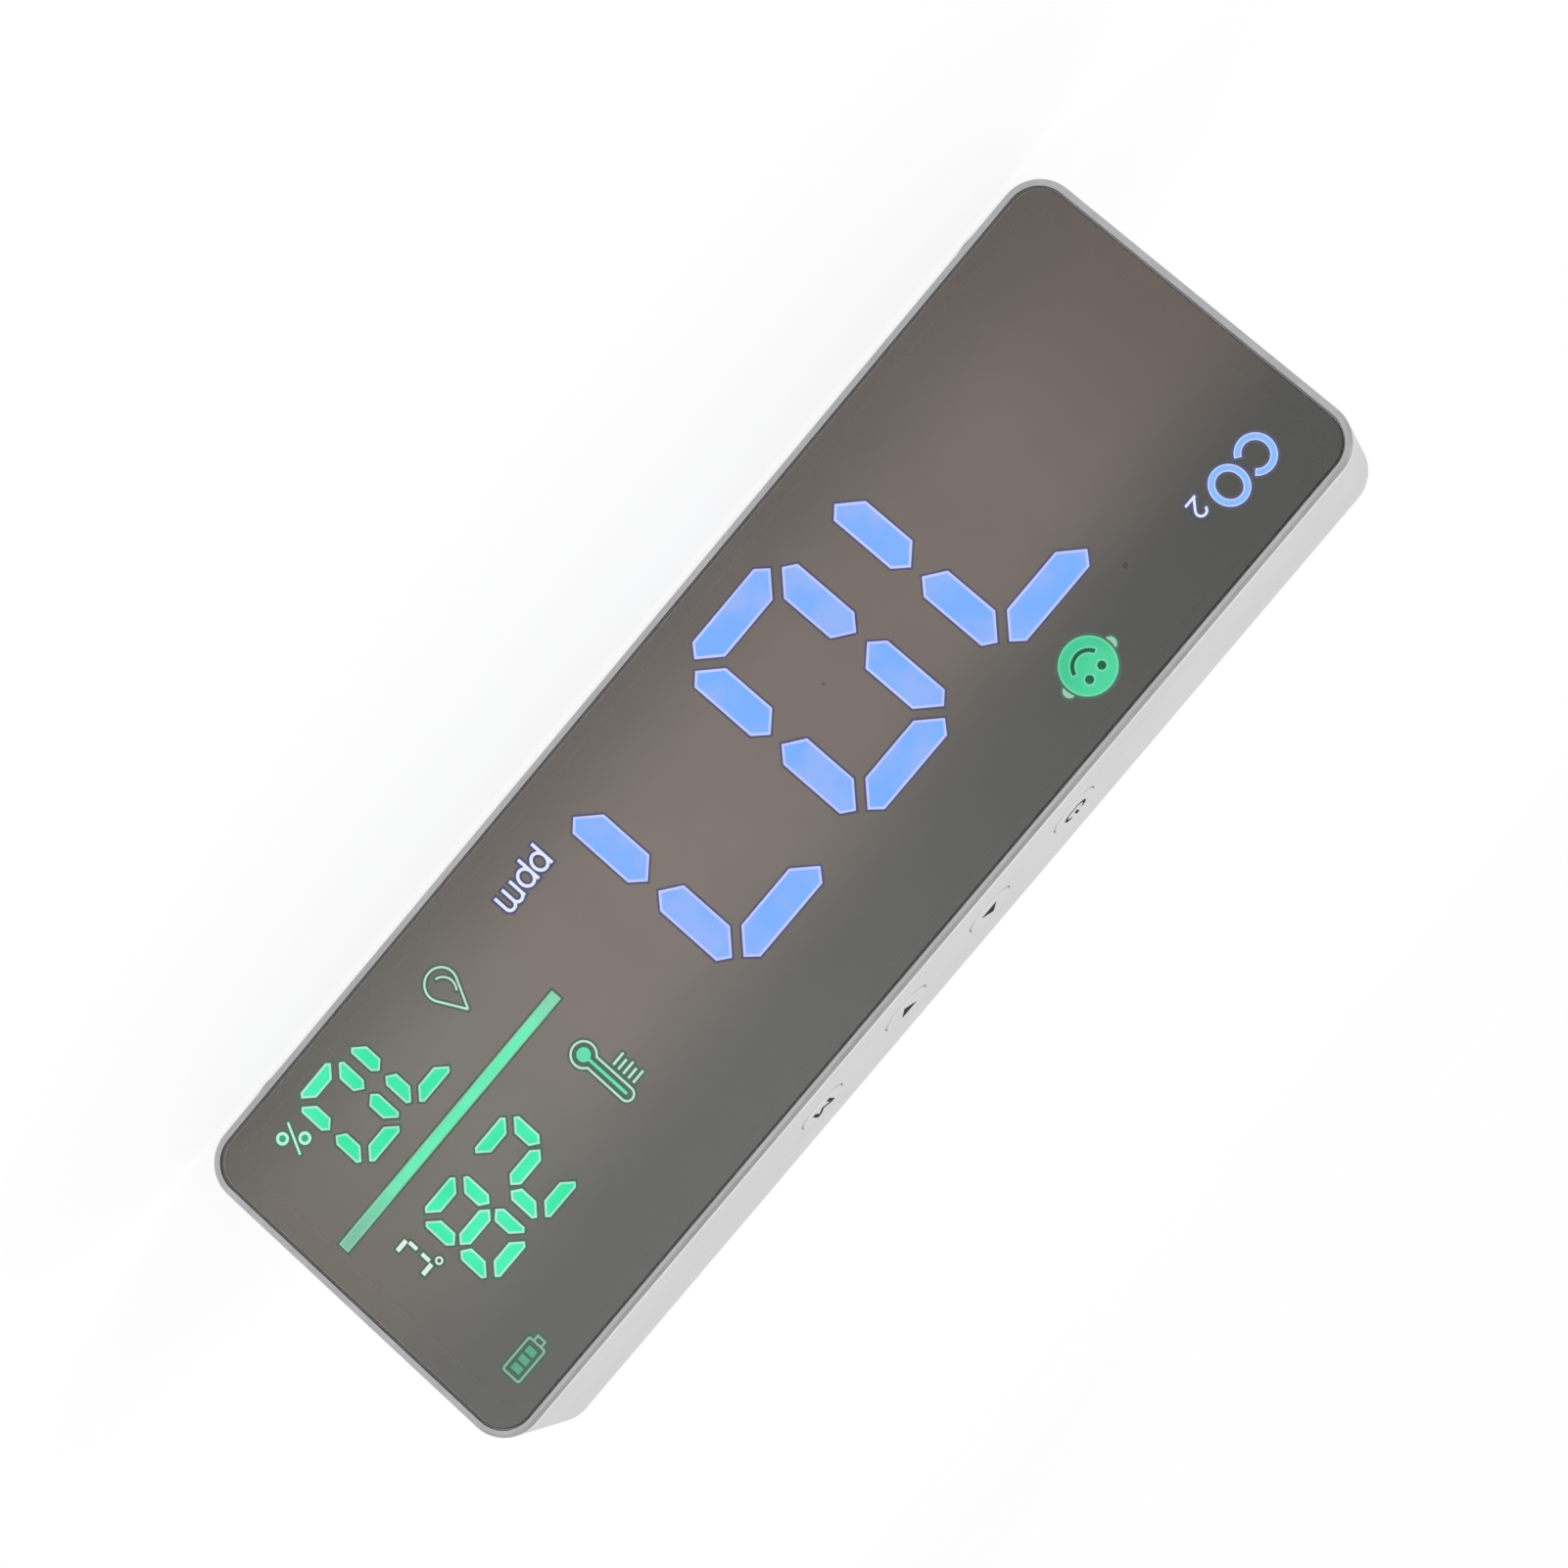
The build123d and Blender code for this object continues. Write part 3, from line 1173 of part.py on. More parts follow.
with BuildPart() as display_ribbon:
    with BuildSketch(Plane.YZ.offset(RIBBON_X - RIBBON_W / 2)):
        for y in (DISPLAY_RIBBON_Y, MAIN_RIBBON_Y):
            with Locations((y, (SOCKET_TOP_Z + LOOP_Z) / 2)):
                Rectangle(RIBBON_T, LOOP_Z - SOCKET_TOP_Z)
        draw_arc(LOOP_R, RIBBON_T, LOOP_Y, LOOP_Z - MID_Z, 0, 180)
    extrude(amount=RIBBON_W)
display_ribbon.part.label = "display_ribbon"
export_step(display_ribbon.part, "parts/display_ribbon.step")

LEAD_START_X = CELL_END_X + GUARD_T

for name, z in zip(("battery_lead_red", "battery_lead_black"), LEAD_Z):
    with BuildPart() as lead:
        with BuildLine() as lead_path:
            FilletPolyline(
                (LEAD_START_X, GUARD_Y - 0.5, z),
                (LEAD_START_X + 8, GUARD_Y - 0.5, z),
                (LEAD_START_X + 18, LEAD_Y, z),
                (58.0, LEAD_Y, z),
                radius=5,
            )
        with BuildSketch(Plane(lead_path.line @ 0, z_dir=lead_path.line % 0)):
            Circle(LEAD_R)
        sweep(path=lead_path.line)
    lead.part.label = name
    export_step(lead.part, "parts/" + name + ".step")

with BuildPart() as key_cable:
    with BuildLine() as key_path:
        FilletPolyline(
            (34.0, -4.0, 53.6),
            (58.0, -4.0, 53.6),
            (67.0, 4.6, 53.6),
            (67.0, 4.6, 47.3),
            radius=2.8,
        )
    with BuildSketch(Plane(key_path.line @ 0, z_dir=key_path.line % 0)):
        Circle(0.9)
    sweep(path=key_path.line)
key_cable.part.label = "key_cable"
export_step(key_cable.part, "parts/key_cable.step")

with BuildPart() as climate_cable:
    with BuildLine() as climate_path:
        FilletPolyline(
            (-79.0, CLIMATE_PAD_Y - CLIMATE_BOARD_T, 19.0),
            (-79.0, 5.5, 19.0),
            (-70.0, 2.1, 20.5),
            (-70.0, 2.1, 26.0),
            radius=2.0,
        )
    with BuildSketch(Plane(climate_path.line @ 0, z_dir=climate_path.line % 0)):
        Circle(0.55)
    sweep(path=climate_path.line)
climate_cable.part.label = "climate_cable"
export_step(climate_cable.part, "parts/climate_cable.step")

with BuildPart() as sensor_cable:
    with BuildLine() as sensor_path:
        FilletPolyline(
            (-56.5, 0.5, 29.5),
            (-50.0, 0.5, 29.5),
            (-42.0, -2.0, 29.5),
            (44.0, -2.0, 29.5),
            (52.0, 4.7, 29.5),
            (58.0, 4.7, 29.5),
            radius=4,
        )
    with BuildSketch(Plane(sensor_path.line @ 0, x_dir=(0, 1, 0), z_dir=sensor_path.line % 0)):
        Rectangle(0.6, 5)
    sweep(path=sensor_path.line)
sensor_cable.part.label = "sensor_cable"
export_step(sensor_cable.part, "parts/sensor_cable.step")
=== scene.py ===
import json
import math

import bmesh
import bpy
from mathutils import Matrix, Vector


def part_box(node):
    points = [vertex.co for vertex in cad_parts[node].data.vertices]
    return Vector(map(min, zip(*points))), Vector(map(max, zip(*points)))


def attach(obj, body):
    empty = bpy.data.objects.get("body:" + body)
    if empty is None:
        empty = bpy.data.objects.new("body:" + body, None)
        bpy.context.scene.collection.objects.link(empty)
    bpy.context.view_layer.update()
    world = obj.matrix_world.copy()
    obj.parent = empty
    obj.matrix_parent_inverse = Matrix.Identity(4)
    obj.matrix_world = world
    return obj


# Looks of the air quality monitor: materials for every CAD node, the printed marks on the buttons,
# the glow of the lit marks on the lens, a white floor, soft studio light and the camera.
# Metres, in the frame of the CAD: +X to the right as the display is read, +Y to the back, +Z up.

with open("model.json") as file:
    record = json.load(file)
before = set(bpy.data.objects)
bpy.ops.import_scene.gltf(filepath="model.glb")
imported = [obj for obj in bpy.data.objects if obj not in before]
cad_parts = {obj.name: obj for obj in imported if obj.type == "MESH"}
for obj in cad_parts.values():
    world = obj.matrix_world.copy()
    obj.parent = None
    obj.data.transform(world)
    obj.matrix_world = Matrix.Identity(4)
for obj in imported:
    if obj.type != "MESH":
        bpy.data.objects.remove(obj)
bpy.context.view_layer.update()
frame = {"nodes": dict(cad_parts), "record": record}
MM = 0.001


# ---------------------------------------------------------------- node helpers
class Shader:
    """A node material on one Principled shader, with short helpers that add nodes and join them."""

    def __init__(self, name, metallic=0.0, specular=0.5):
        self.material = bpy.data.materials.new(name)
        self.material.use_nodes = True
        self.tree = self.material.node_tree
        self.tree.nodes.clear()
        output = self.tree.nodes.new("ShaderNodeOutputMaterial")
        self.shader = self.tree.nodes.new("ShaderNodeBsdfPrincipled")
        self.shader.inputs["Metallic"].default_value = metallic
        self.shader.inputs["Specular IOR Level"].default_value = specular
        self.join(self.shader.outputs[0], output.inputs["Surface"])
        self.coordinates = self.tree.nodes.new("ShaderNodeTexCoord").outputs["Object"]

    def join(self, source, target):
        self.tree.links.new(source, target)

    def place(self, value, socket):
        """Puts a number, a colour or another node's output on a socket."""
        if isinstance(value, bpy.types.NodeSocket):
            self.join(value, socket)
        elif isinstance(value, tuple) and len(value) == 3 and socket.type == "RGBA":
            socket.default_value = (*value, 1.0)
        else:
            socket.default_value = value

    def stretched(self, scale):
        """The object coordinates, stretched by a factor along each axis."""
        node = self.tree.nodes.new("ShaderNodeMapping")
        node.inputs["Scale"].default_value = scale
        self.join(self.coordinates, node.inputs["Vector"])
        return node.outputs[0]

    def noise(self, scale, detail=3.0, roughness=0.5, vector=None):
        node = self.tree.nodes.new("ShaderNodeTexNoise")
        node.inputs["Scale"].default_value = scale
        node.inputs["Detail"].default_value = detail
        node.inputs["Roughness"].default_value = roughness
        self.join(vector or self.coordinates, node.inputs["Vector"])
        return node.outputs["Fac"]

    def cells(self, scale, feature="F1"):
        node = self.tree.nodes.new("ShaderNodeTexVoronoi")
        node.feature = feature
        node.inputs["Scale"].default_value = scale
        self.join(self.coordinates, node.inputs["Vector"])
        return node.outputs["Distance"]

    def wave(self, scale, direction, distortion=0.0):
        node = self.tree.nodes.new("ShaderNodeTexWave")
        node.bands_direction = direction
        node.inputs["Scale"].default_value = scale
        node.inputs["Distortion"].default_value = distortion
        self.join(self.coordinates, node.inputs["Vector"])
        return node.outputs["Fac"]

    def axis(self, index):
        """One coordinate of the surface point, in metres."""
        node = self.tree.nodes.new("ShaderNodeSeparateXYZ")
        self.join(self.coordinates, node.inputs[0])
        return node.outputs[index]

    def remap(self, value, low, high, to_low=0.0, to_high=1.0, smooth=True):
        node = self.tree.nodes.new("ShaderNodeMapRange")
        node.interpolation_type = "SMOOTHSTEP" if smooth else "LINEAR"
        self.place(value, node.inputs["Value"])
        node.inputs["From Min"].default_value = low
        node.inputs["From Max"].default_value = high
        node.inputs["To Min"].default_value = to_low
        node.inputs["To Max"].default_value = to_high
        return node.outputs[0]

    def math(self, kind, first, second=0.0):
        node = self.tree.nodes.new("ShaderNodeMath")
        node.operation = kind
        self.place(first, node.inputs[0])
        self.place(second, node.inputs[1])
        return node.outputs[0]

    def mix(self, factor, first, second):
        node = self.tree.nodes.new("ShaderNodeMix")
        node.data_type = "RGBA"
        self.place(factor, node.inputs[0])
        self.place(first, node.inputs[6])
        self.place(second, node.inputs[7])
        return node.outputs[2]

    def ramp(self, value, low, high, stops):
        """Colours at even or uneven steps along a value that runs from low to high."""
        node = self.tree.nodes.new("ShaderNodeValToRGB")
        node.color_ramp.interpolation = "EASE"
        self.join(self.remap(value, low, high, smooth=False), node.inputs["Fac"])
        for place, colour in stops[1:-1]:
            node.color_ramp.elements.new((place - low) / (high - low)).color = (*colour, 1.0)
        node.color_ramp.elements[0].color = (*stops[0][1], 1.0)
        node.color_ramp.elements[-1].color = (*stops[-1][1], 1.0)
        return node.outputs["Color"]

    def occlusion(self, distance):
        """0 deep in a gap or corner and 1 in the open."""
        node = self.tree.nodes.new("ShaderNodeAmbientOcclusion")
        node.samples = 6
        node.inputs["Distance"].default_value = distance
        return node.outputs["AO"]

    def bump(self, height, strength, distance):
        node = self.tree.nodes.new("ShaderNodeBump")
        node.inputs["Strength"].default_value = strength
        node.inputs["Distance"].default_value = distance
        self.join(height, node.inputs["Height"])
        self.join(node.outputs[0], self.shader.inputs["Normal"])

    def colour(self, value):
        self.place(value, self.shader.inputs["Base Color"])

    def roughness(self, value):
        self.place(value, self.shader.inputs["Roughness"])

    def light(self, colour, strength):
        self.place(colour, self.shader.inputs["Emission Color"])
        self.shader.inputs["Emission Strength"].default_value = strength


# Greys of the mirror, a painted reflection of the room carried in the colour of the film. Along its
# length, each has its place along X in metres. The top and bottom strips have their own, at the left,
# middle and right.
WARM_GREYS = (
    (-0.100, (0.240, 0.200, 0.180)),
    (-0.060, (0.308, 0.260, 0.234)),
    (0.038, (0.362, 0.312, 0.285)),
    (0.065, (0.328, 0.318, 0.280)),
    (0.100, (0.283, 0.262, 0.230)),
)
TOP_GREY_LEFT = (0.148, 0.151, 0.143)
TOP_GREY_MIDDLE = (0.236, 0.238, 0.227)
TOP_GREY_RIGHT = (0.228, 0.231, 0.226)
BOTTOM_GREY_LEFT = (0.200, 0.180, 0.164)
BOTTOM_GREY_RIGHT = (0.186, 0.184, 0.174)
MOTTLE_GREY = (0.17, 0.145, 0.13)
MIRROR_ALPHA = 0.5

# The silver foil on the front of the frame, the white of its side, lighter than the shell plastic as a
# painted highlight, and how deep the foil reaches.
FOIL_DARK = (0.40, 0.40, 0.41)
FOIL_LIGHT = (0.46, 0.46, 0.47)
FOIL_WORN = (0.54, 0.54, 0.55)
RING_WHITE_WITH_HIGHLIGHT = (0.89, 0.89, 0.89)
FOIL_EDGE_Y = -0.01462


def moulded_plastic(name, colour, rough=0.5, grain=2600.0, grain_strength=0.25, gap_shade=0.35):
    """Injection-moulded plastic: fine spark-eroded grain, faint tone drift, painted shade in the gaps.
    """
    s = Shader(name)
    drift = s.remap(s.noise(28.0, 4.0), 0.35, 0.65)
    darker = tuple(c * 0.955 for c in colour)
    tone = s.mix(drift, darker, colour)
    speck = s.remap(s.noise(1500.0, 2.0), 0.62, 0.78, 0.0, 0.10)
    tone = s.mix(speck, tone, tuple(c * 0.78 for c in colour))
    # Painted shade: gaps and corners found by the ambient occlusion are painted darker, by the given
    # fraction.
    dust = tuple(c * (1.0 - gap_shade) for c in colour)
    tone = s.mix(s.remap(s.occlusion(0.0012), 0.15, 0.75, 1.0, 0.0), tone, dust)
    s.colour(tone)
    rub = s.noise(180.0, 5.0, 0.65)
    s.roughness(s.remap(rub, 0.3, 0.7, rough - 0.07, rough + 0.08))
    fine = s.noise(grain, 2.0, 0.6)
    s.bump(fine, grain_strength, 0.00003)
    return s.material


def plated_frame(name):
    """White moulded ring with silver foil on its front lip and bevel: fine grain, worn spots, and a
    white side lighter than the shell plastic as a painted highlight.
    """
    s = Shader(name)
    streak = s.noise(900.0, 4.0, 0.6, s.stretched((0.05, 1.0, 0.3)))
    foil = s.mix(s.remap(streak, 0.3, 0.7), FOIL_DARK, FOIL_LIGHT)
    worn = s.remap(s.noise(160.0, 5.0, 0.7), 0.62, 0.74, 0.0, 0.35)
    foil = s.mix(worn, foil, FOIL_WORN)
    drift = s.remap(s.noise(28.0, 4.0), 0.35, 0.65)
    # Painted highlight: the white side of the ring is lighter than the shell plastic, standing for the
    # bright line behind the foil.
    white = s.mix(drift, tuple(c * 0.96 for c in RING_WHITE_WITH_HIGHLIGHT), RING_WHITE_WITH_HIGHLIGHT)
    ragged = s.math("MULTIPLY", s.math("SUBTRACT", s.noise(700.0, 3.0), 0.5), 0.00008)
    depth = s.math("ADD", s.axis(1), ragged)
    behind = s.remap(depth, FOIL_EDGE_Y - 0.00006, FOIL_EDGE_Y + 0.00006)
    s.colour(s.mix(behind, foil, white))
    s.place(s.remap(behind, 0.0, 1.0, 0.72, 0.0), s.shader.inputs["Metallic"])
    satin = s.remap(s.noise(420.0, 4.0), 0.3, 0.7, 0.30, 0.44)
    s.roughness(s.math("ADD", satin, s.remap(behind, 0.0, 1.0, 0.0, 0.12)))
    s.bump(streak, 0.12, 0.00002)
    return s.material


def half_mirror(name):
    """Half-mirror film behind clear acrylic: painted reflection in its colour, grey towards the top,
    warmer below, faint wipe marks.
    """
    s = Shader(name, metallic=1.0)
    x = s.axis(0)
    z = s.axis(2)
    # Painted reflection: the film's colour changes with place on the lens, greyer high up and warmer
    # low down, as the room it mirrors would.
    low = s.ramp(x, -0.100, 0.100, WARM_GREYS)
    across = s.remap(x, -0.100, 0.050)
    high = s.mix(across, TOP_GREY_LEFT, TOP_GREY_MIDDLE)
    high = s.mix(s.remap(x, 0.050, 0.105), high, TOP_GREY_RIGHT)
    wander = s.math("MULTIPLY", s.math("SUBTRACT", s.noise(14.0, 2.0), 0.5), 0.012)
    height = s.math("ADD", z, wander)
    tone = s.mix(s.remap(height, 0.034, 0.056), low, high)
    foot = s.mix(s.remap(x, -0.075, -0.015), BOTTOM_GREY_LEFT, BOTTOM_GREY_RIGHT)
    tone = s.mix(s.remap(height, 0.002, 0.020, 0.55, 0.0), tone, foot)
    mottle = s.remap(s.noise(60.0, 5.0, 0.6), 0.3, 0.7, 0.0, 0.10)
    tone = s.mix(mottle, tone, MOTTLE_GREY)
    s.colour(tone)
    wipe = s.noise(90.0, 4.0, 0.6, s.stretched((0.25, 1.0, 1.0)))
    s.roughness(s.remap(wipe, 0.35, 0.7, 0.05, 0.11))
    s.shader.inputs["Alpha"].default_value = MIRROR_ALPHA
    return s.material


def lit_diffuser(name, colour, deep, strength, patch=110.0, tints=()):
    """Milky diffuser lit from behind: uneven light, finely ground surface.

    Each tint is an axis, the two places between which it sets in, and the colour it leads to.
    """
    s = Shader(name, specular=0.15)
    uneven = s.remap(s.noise(patch, 2.0), 0.35, 0.65)
    tone = s.mix(uneven, deep, colour)
    grains = s.remap(s.noise(2400.0, 2.0), 0.3, 0.7, 0.0, 0.08)
    tone = s.mix(grains, tone, tuple(c * 0.8 for c in deep))
    for masks, tint in tints:
        factor = 1.0
        for index, start, end in masks:
            factor = s.math("MULTIPLY", factor, s.remap(s.axis(index), start, end))
        tone = s.mix(factor, tone, tint)
    s.colour(s.mix(0.97, tone, (0.0, 0.0, 0.0)))
    s.light(tone, strength)
    s.roughness(s.remap(s.noise(700.0, 3.0), 0.3, 0.7, 0.55, 0.75))
    return s.material


def circuit_board(name, mask, track):
    """Solder mask over copper tracks: raised lines, tinned pads and vias, fibre weave beneath."""
    s = Shader(name)
    lanes = s.cells(260.0, "DISTANCE_TO_EDGE")
    lines = s.remap(lanes, 0.04, 0.10, 1.0, 0.0)
    tone = s.mix(lines, mask, track)
    weave = s.math("MULTIPLY", s.wave(420.0, "X", 0.4), s.wave(420.0, "Z", 0.4))
    tone = s.mix(s.remap(weave, 0.0, 1.0, 0.0, 0.12), tone, tuple(c * 0.5 for c in mask))
    pads = s.remap(s.cells(190.0), 0.14, 0.17, 1.0, 0.0)
    tone = s.mix(pads, tone, (0.62, 0.60, 0.55))
    s.colour(tone)
    s.roughness(s.remap(s.noise(500.0, 3.0), 0.3, 0.7, 0.28, 0.42))
    s.bump(lines, 0.35, 0.00004)
    return s.material


def satin_metal(name, colour, rough=0.3, stretch=(1.0, 1.0, 0.05), scale=1500.0):
    """Bare or plated metal: drawn or brushed grain, tarnish in patches."""
    s = Shader(name, metallic=1.0)
    grain = s.noise(scale, 4.0, 0.6, s.stretched(stretch))
    dull = tuple(c * 0.72 for c in colour)
    tone = s.mix(s.remap(grain, 0.3, 0.7), dull, colour)
    tarnish = s.remap(s.noise(240.0, 5.0, 0.7), 0.56, 0.72, 0.0, 0.4)
    tone = s.mix(tarnish, tone, tuple(c * 0.5 for c in colour))
    s.colour(tone)
    s.roughness(s.remap(grain, 0.3, 0.7, rough - 0.08, rough + 0.12))
    s.bump(grain, 0.2, 0.00002)
    return s.material


def black_package(name, colour=(0.018, 0.018, 0.020), rough=0.55):
    """Moulded epoxy or black nylon: fine pits, grey dust on the corners."""
    s = Shader(name)
    dusty = s.remap(s.noise(320.0, 4.0, 0.6), 0.45, 0.75, 0.0, 0.35)
    tone = s.mix(dusty, colour, tuple(c * 2.4 + 0.01 for c in colour))
    s.colour(tone)
    s.roughness(s.remap(s.noise(900.0, 3.0), 0.3, 0.7, rough - 0.1, rough + 0.12))
    s.bump(s.noise(3200.0, 2.0), 0.3, 0.00003)
    return s.material


def rubber(name):
    """Moulded rubber foot: dull, with pale dust and fine pores."""
    s = Shader(name)
    dust = s.remap(s.noise(420.0, 5.0, 0.65), 0.42, 0.72, 0.0, 0.5)
    s.colour(s.mix(dust, (0.030, 0.030, 0.031), (0.085, 0.083, 0.080)))
    s.roughness(s.remap(s.noise(700.0, 3.0), 0.3, 0.7, 0.72, 0.92))
    s.bump(s.cells(2600.0), 0.35, 0.00004)
    return s.material


def mesh_fabric(name):
    """Woven dust mesh: crossing black threads, with painted shade in the open squares between."""
    s = Shader(name)
    warp = s.wave(520.0, "X", 0.15)
    weft = s.wave(520.0, "Z", 0.15)
    thread = s.math("MAXIMUM", warp, weft)
    hole = s.remap(thread, 0.35, 0.6)
    # Painted shade: the open squares are coloured near-black for the dark seen through them.
    s.colour(s.mix(hole, (0.004, 0.004, 0.004), (0.055, 0.055, 0.058)))
    s.roughness(s.remap(s.noise(900.0, 3.0), 0.3, 0.7, 0.7, 0.95))
    s.bump(thread, 0.8, 0.0001)
    return s.material


def membrane(name):
    """Porous white membrane."""
    s = Shader(name)
    fibres = s.noise(1800.0, 5.0, 0.7)
    s.colour(s.mix(s.remap(fibres, 0.3, 0.7), (0.66, 0.66, 0.64), (0.86, 0.86, 0.84)))
    s.roughness(s.remap(fibres, 0.3, 0.7, 0.8, 0.95))
    s.bump(fibres, 0.5, 0.00005)
    return s.material


def pouch_foil(name):
    """Foil of the lithium cell: satin aluminium with soft dents and fold creases."""
    s = Shader(name, metallic=0.9)
    dents = s.noise(110.0, 4.0, 0.55)
    s.colour(s.mix(s.remap(dents, 0.3, 0.7), (0.46, 0.47, 0.49), (0.60, 0.61, 0.63)))
    s.roughness(s.remap(s.noise(260.0, 4.0), 0.3, 0.7, 0.28, 0.46))
    s.bump(dents, 0.5, 0.0003)
    return s.material


def nylon(name, colour):
    """Natural nylon of the cable sockets."""
    s = Shader(name, specular=0.4)
    drift = s.remap(s.noise(220.0, 4.0), 0.35, 0.65)
    s.colour(s.mix(drift, tuple(c * 0.86 for c in colour), colour))
    s.roughness(s.remap(s.noise(800.0, 3.0), 0.3, 0.7, 0.4, 0.58))
    s.bump(s.noise(2400.0, 2.0), 0.25, 0.00003)
    return s.material


def insulation(name, colour):
    """Extruded wire insulation: slight gloss streaks and scuffs along the wire."""
    s = Shader(name, specular=0.45)
    scuff = s.remap(s.noise(520.0, 5.0, 0.65), 0.45, 0.72, 0.0, 0.4)
    s.colour(s.mix(scuff, colour, tuple(min(1.0, c * 1.5 + 0.03) for c in colour)))
    s.roughness(s.remap(s.noise(600.0, 3.0), 0.3, 0.7, 0.34, 0.52))
    s.bump(s.noise(1500.0, 3.0), 0.2, 0.00004)
    return s.material


def flat_cable(name):
    """Flat ribbon: one faint ridge for each conductor."""
    s = Shader(name)
    ridges = s.wave(330.0, "X")
    s.colour(s.mix(s.remap(ridges, 0.2, 0.8), (0.56, 0.57, 0.60), (0.80, 0.81, 0.83)))
    s.roughness(s.remap(s.noise(400.0, 3.0), 0.3, 0.7, 0.35, 0.5))
    s.bump(ridges, 0.4, 0.0001)
    return s.material


def dark_cavity(name):
    """Dead-black pieces seen only through the half mirror: dull, with a trace of dust."""
    s = Shader(name, specular=0.0)
    dusty = s.remap(s.noise(260.0, 4.0), 0.45, 0.75)
    s.colour(s.mix(dusty, (0.003, 0.003, 0.003), (0.006, 0.006, 0.006)))
    s.roughness(s.remap(s.noise(900.0, 3.0), 0.3, 0.7, 0.85, 0.98))
    return s.material


def dark_diffuser(name, colour):
    """Smoked, tinted diffuser as it looks with the lamp off: satin, with a ground surface."""
    s = Shader(name, specular=0.0)
    ground = s.noise(900.0, 3.0)
    s.colour(s.mix(s.remap(ground, 0.3, 0.7), tuple(c * 0.6 for c in colour), colour))
    s.roughness(s.remap(ground, 0.3, 0.7, 0.55, 0.75))
    return s.material


def printed_ink(name):
    """Pad-printed dark grey ink with thin spots and a slightly rough edge."""
    s = Shader(name, specular=0.12)
    thin = s.remap(s.noise(1300.0, 4.0, 0.65), 0.55, 0.8, 0.0, 0.3)
    s.colour(s.mix(thin, (0.014, 0.014, 0.016), (0.07, 0.07, 0.07)))
    s.roughness(s.remap(s.noise(900.0, 3.0), 0.3, 0.7, 0.6, 0.8))
    return s.material


# ---------------------------------------------------------------- materials by slot
SHELL = (0.722, 0.722, 0.724)
MATERIALS = {
    "silver_frame": plated_frame("plated_frame"),
    "half_mirror": half_mirror("half_mirror_film"),
    "black_tape": dark_cavity("black_foam_tape"),
    "black_plastic": dark_cavity("black_moulding"),
    "diffuser_sheet": black_package("smoked_diffuser", (0.012, 0.012, 0.013), 0.5),
    "lit_blue": dark_diffuser("blue_diffuser", (0.006, 0.009, 0.020)),
    "lit_pale_blue": dark_diffuser("pale_blue_diffuser", (0.008, 0.011, 0.018)),
    "lit_green": dark_diffuser("green_diffuser", (0.005, 0.018, 0.011)),
    "lit_face_green": dark_diffuser("face_diffuser", (0.005, 0.015, 0.009)),
    "lit_pale_green": dark_diffuser("pale_green_diffuser", (0.010, 0.015, 0.012)),
    "unlit_bar": dark_cavity("unlit_diffuser"),
    "white_shell": moulded_plastic("shell_plastic", SHELL, 0.5),
    "button_cap": moulded_plastic("cap_plastic", (0.732, 0.732, 0.734), 0.42, 3200.0, 0.12, 0.25),
    "foot_rubber": rubber("foot_rubber"),
    "screw_steel": satin_metal("zinc_steel", (0.58, 0.58, 0.60), 0.34, (1.0, 1.0, 1.0)),
    "mesh_fabric": mesh_fabric("dust_mesh_weave"),
    "white_board": circuit_board("white_board", (0.74, 0.75, 0.73), (0.80, 0.81, 0.79)),
    "green_board": circuit_board("green_board", (0.010, 0.115, 0.045), (0.020, 0.20, 0.075)),
    "led_package": nylon("led_package", (0.86, 0.80, 0.52)),
    "chip_black": black_package("epoxy_package"),
    "plunger_plastic": black_package("plunger_nylon", (0.03, 0.03, 0.03), 0.45),
    "gold_cell": satin_metal("gold_chamber", (0.82, 0.60, 0.26), 0.26, (1.0, 1.0, 0.1)),
    "filter_white": membrane("sensor_membrane"),
    "cell_pouch": pouch_foil("cell_foil"),
    "socket_ivory": nylon("socket_nylon", (0.78, 0.73, 0.60)),
    "ribbon_white": flat_cable("flat_cable"),
    "wire_red": insulation("red_insulation", (0.50, 0.015, 0.015)),
    "wire_black": insulation("black_insulation", (0.018, 0.018, 0.018)),
    "wire_grey": insulation("grey_insulation", (0.26, 0.26, 0.28)),
}
INK = printed_ink("printed_ink")
for subpart in frame["record"]["subparts"]:
    mesh = frame["nodes"][subpart["node"]].data
    mesh.materials.clear()
    mesh.materials.append(MATERIALS[subpart["material_slot"]])


# ---------------------------------------------------------------- printed marks on the buttons
def finished(name, mesh_data, material, body):
    """A new piece of the scene that moves with a body and carries a material."""
    piece = bpy.data.objects.new(name, mesh_data)
    bpy.context.scene.collection.objects.link(piece)
    mesh_data.materials.append(material)
    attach(piece, body)
    return piece


def prism(name, outlines, low_z, high_z):
    """Flat closed outlines in X and Y, raised from low_z to high_z."""
    mesh = bmesh.new()
    for outline in outlines:
        corners = [mesh.verts.new((x, y, low_z)) for x, y in outline]
        face = mesh.faces.new(corners)
        raised = bmesh.ops.extrude_face_region(mesh, geom=[face])
        top = [item for item in raised["geom"] if isinstance(item, bmesh.types.BMVert)]
        bmesh.ops.translate(mesh, verts=top, vec=(0, 0, high_z - low_z))
    bmesh.ops.recalc_face_normals(mesh, faces=mesh.faces)
    bmesh.ops.triangulate(mesh, faces=[f for f in mesh.faces if len(f.verts) > 4])
    data = bpy.data.meshes.new(name)
    mesh.to_mesh(data)
    mesh.free()
    return data


def about(centre, points):
    """Points given in mm, placed about a centre in metres."""
    return [(centre[0] + x * MM, centre[1] + y * MM) for x, y in points]


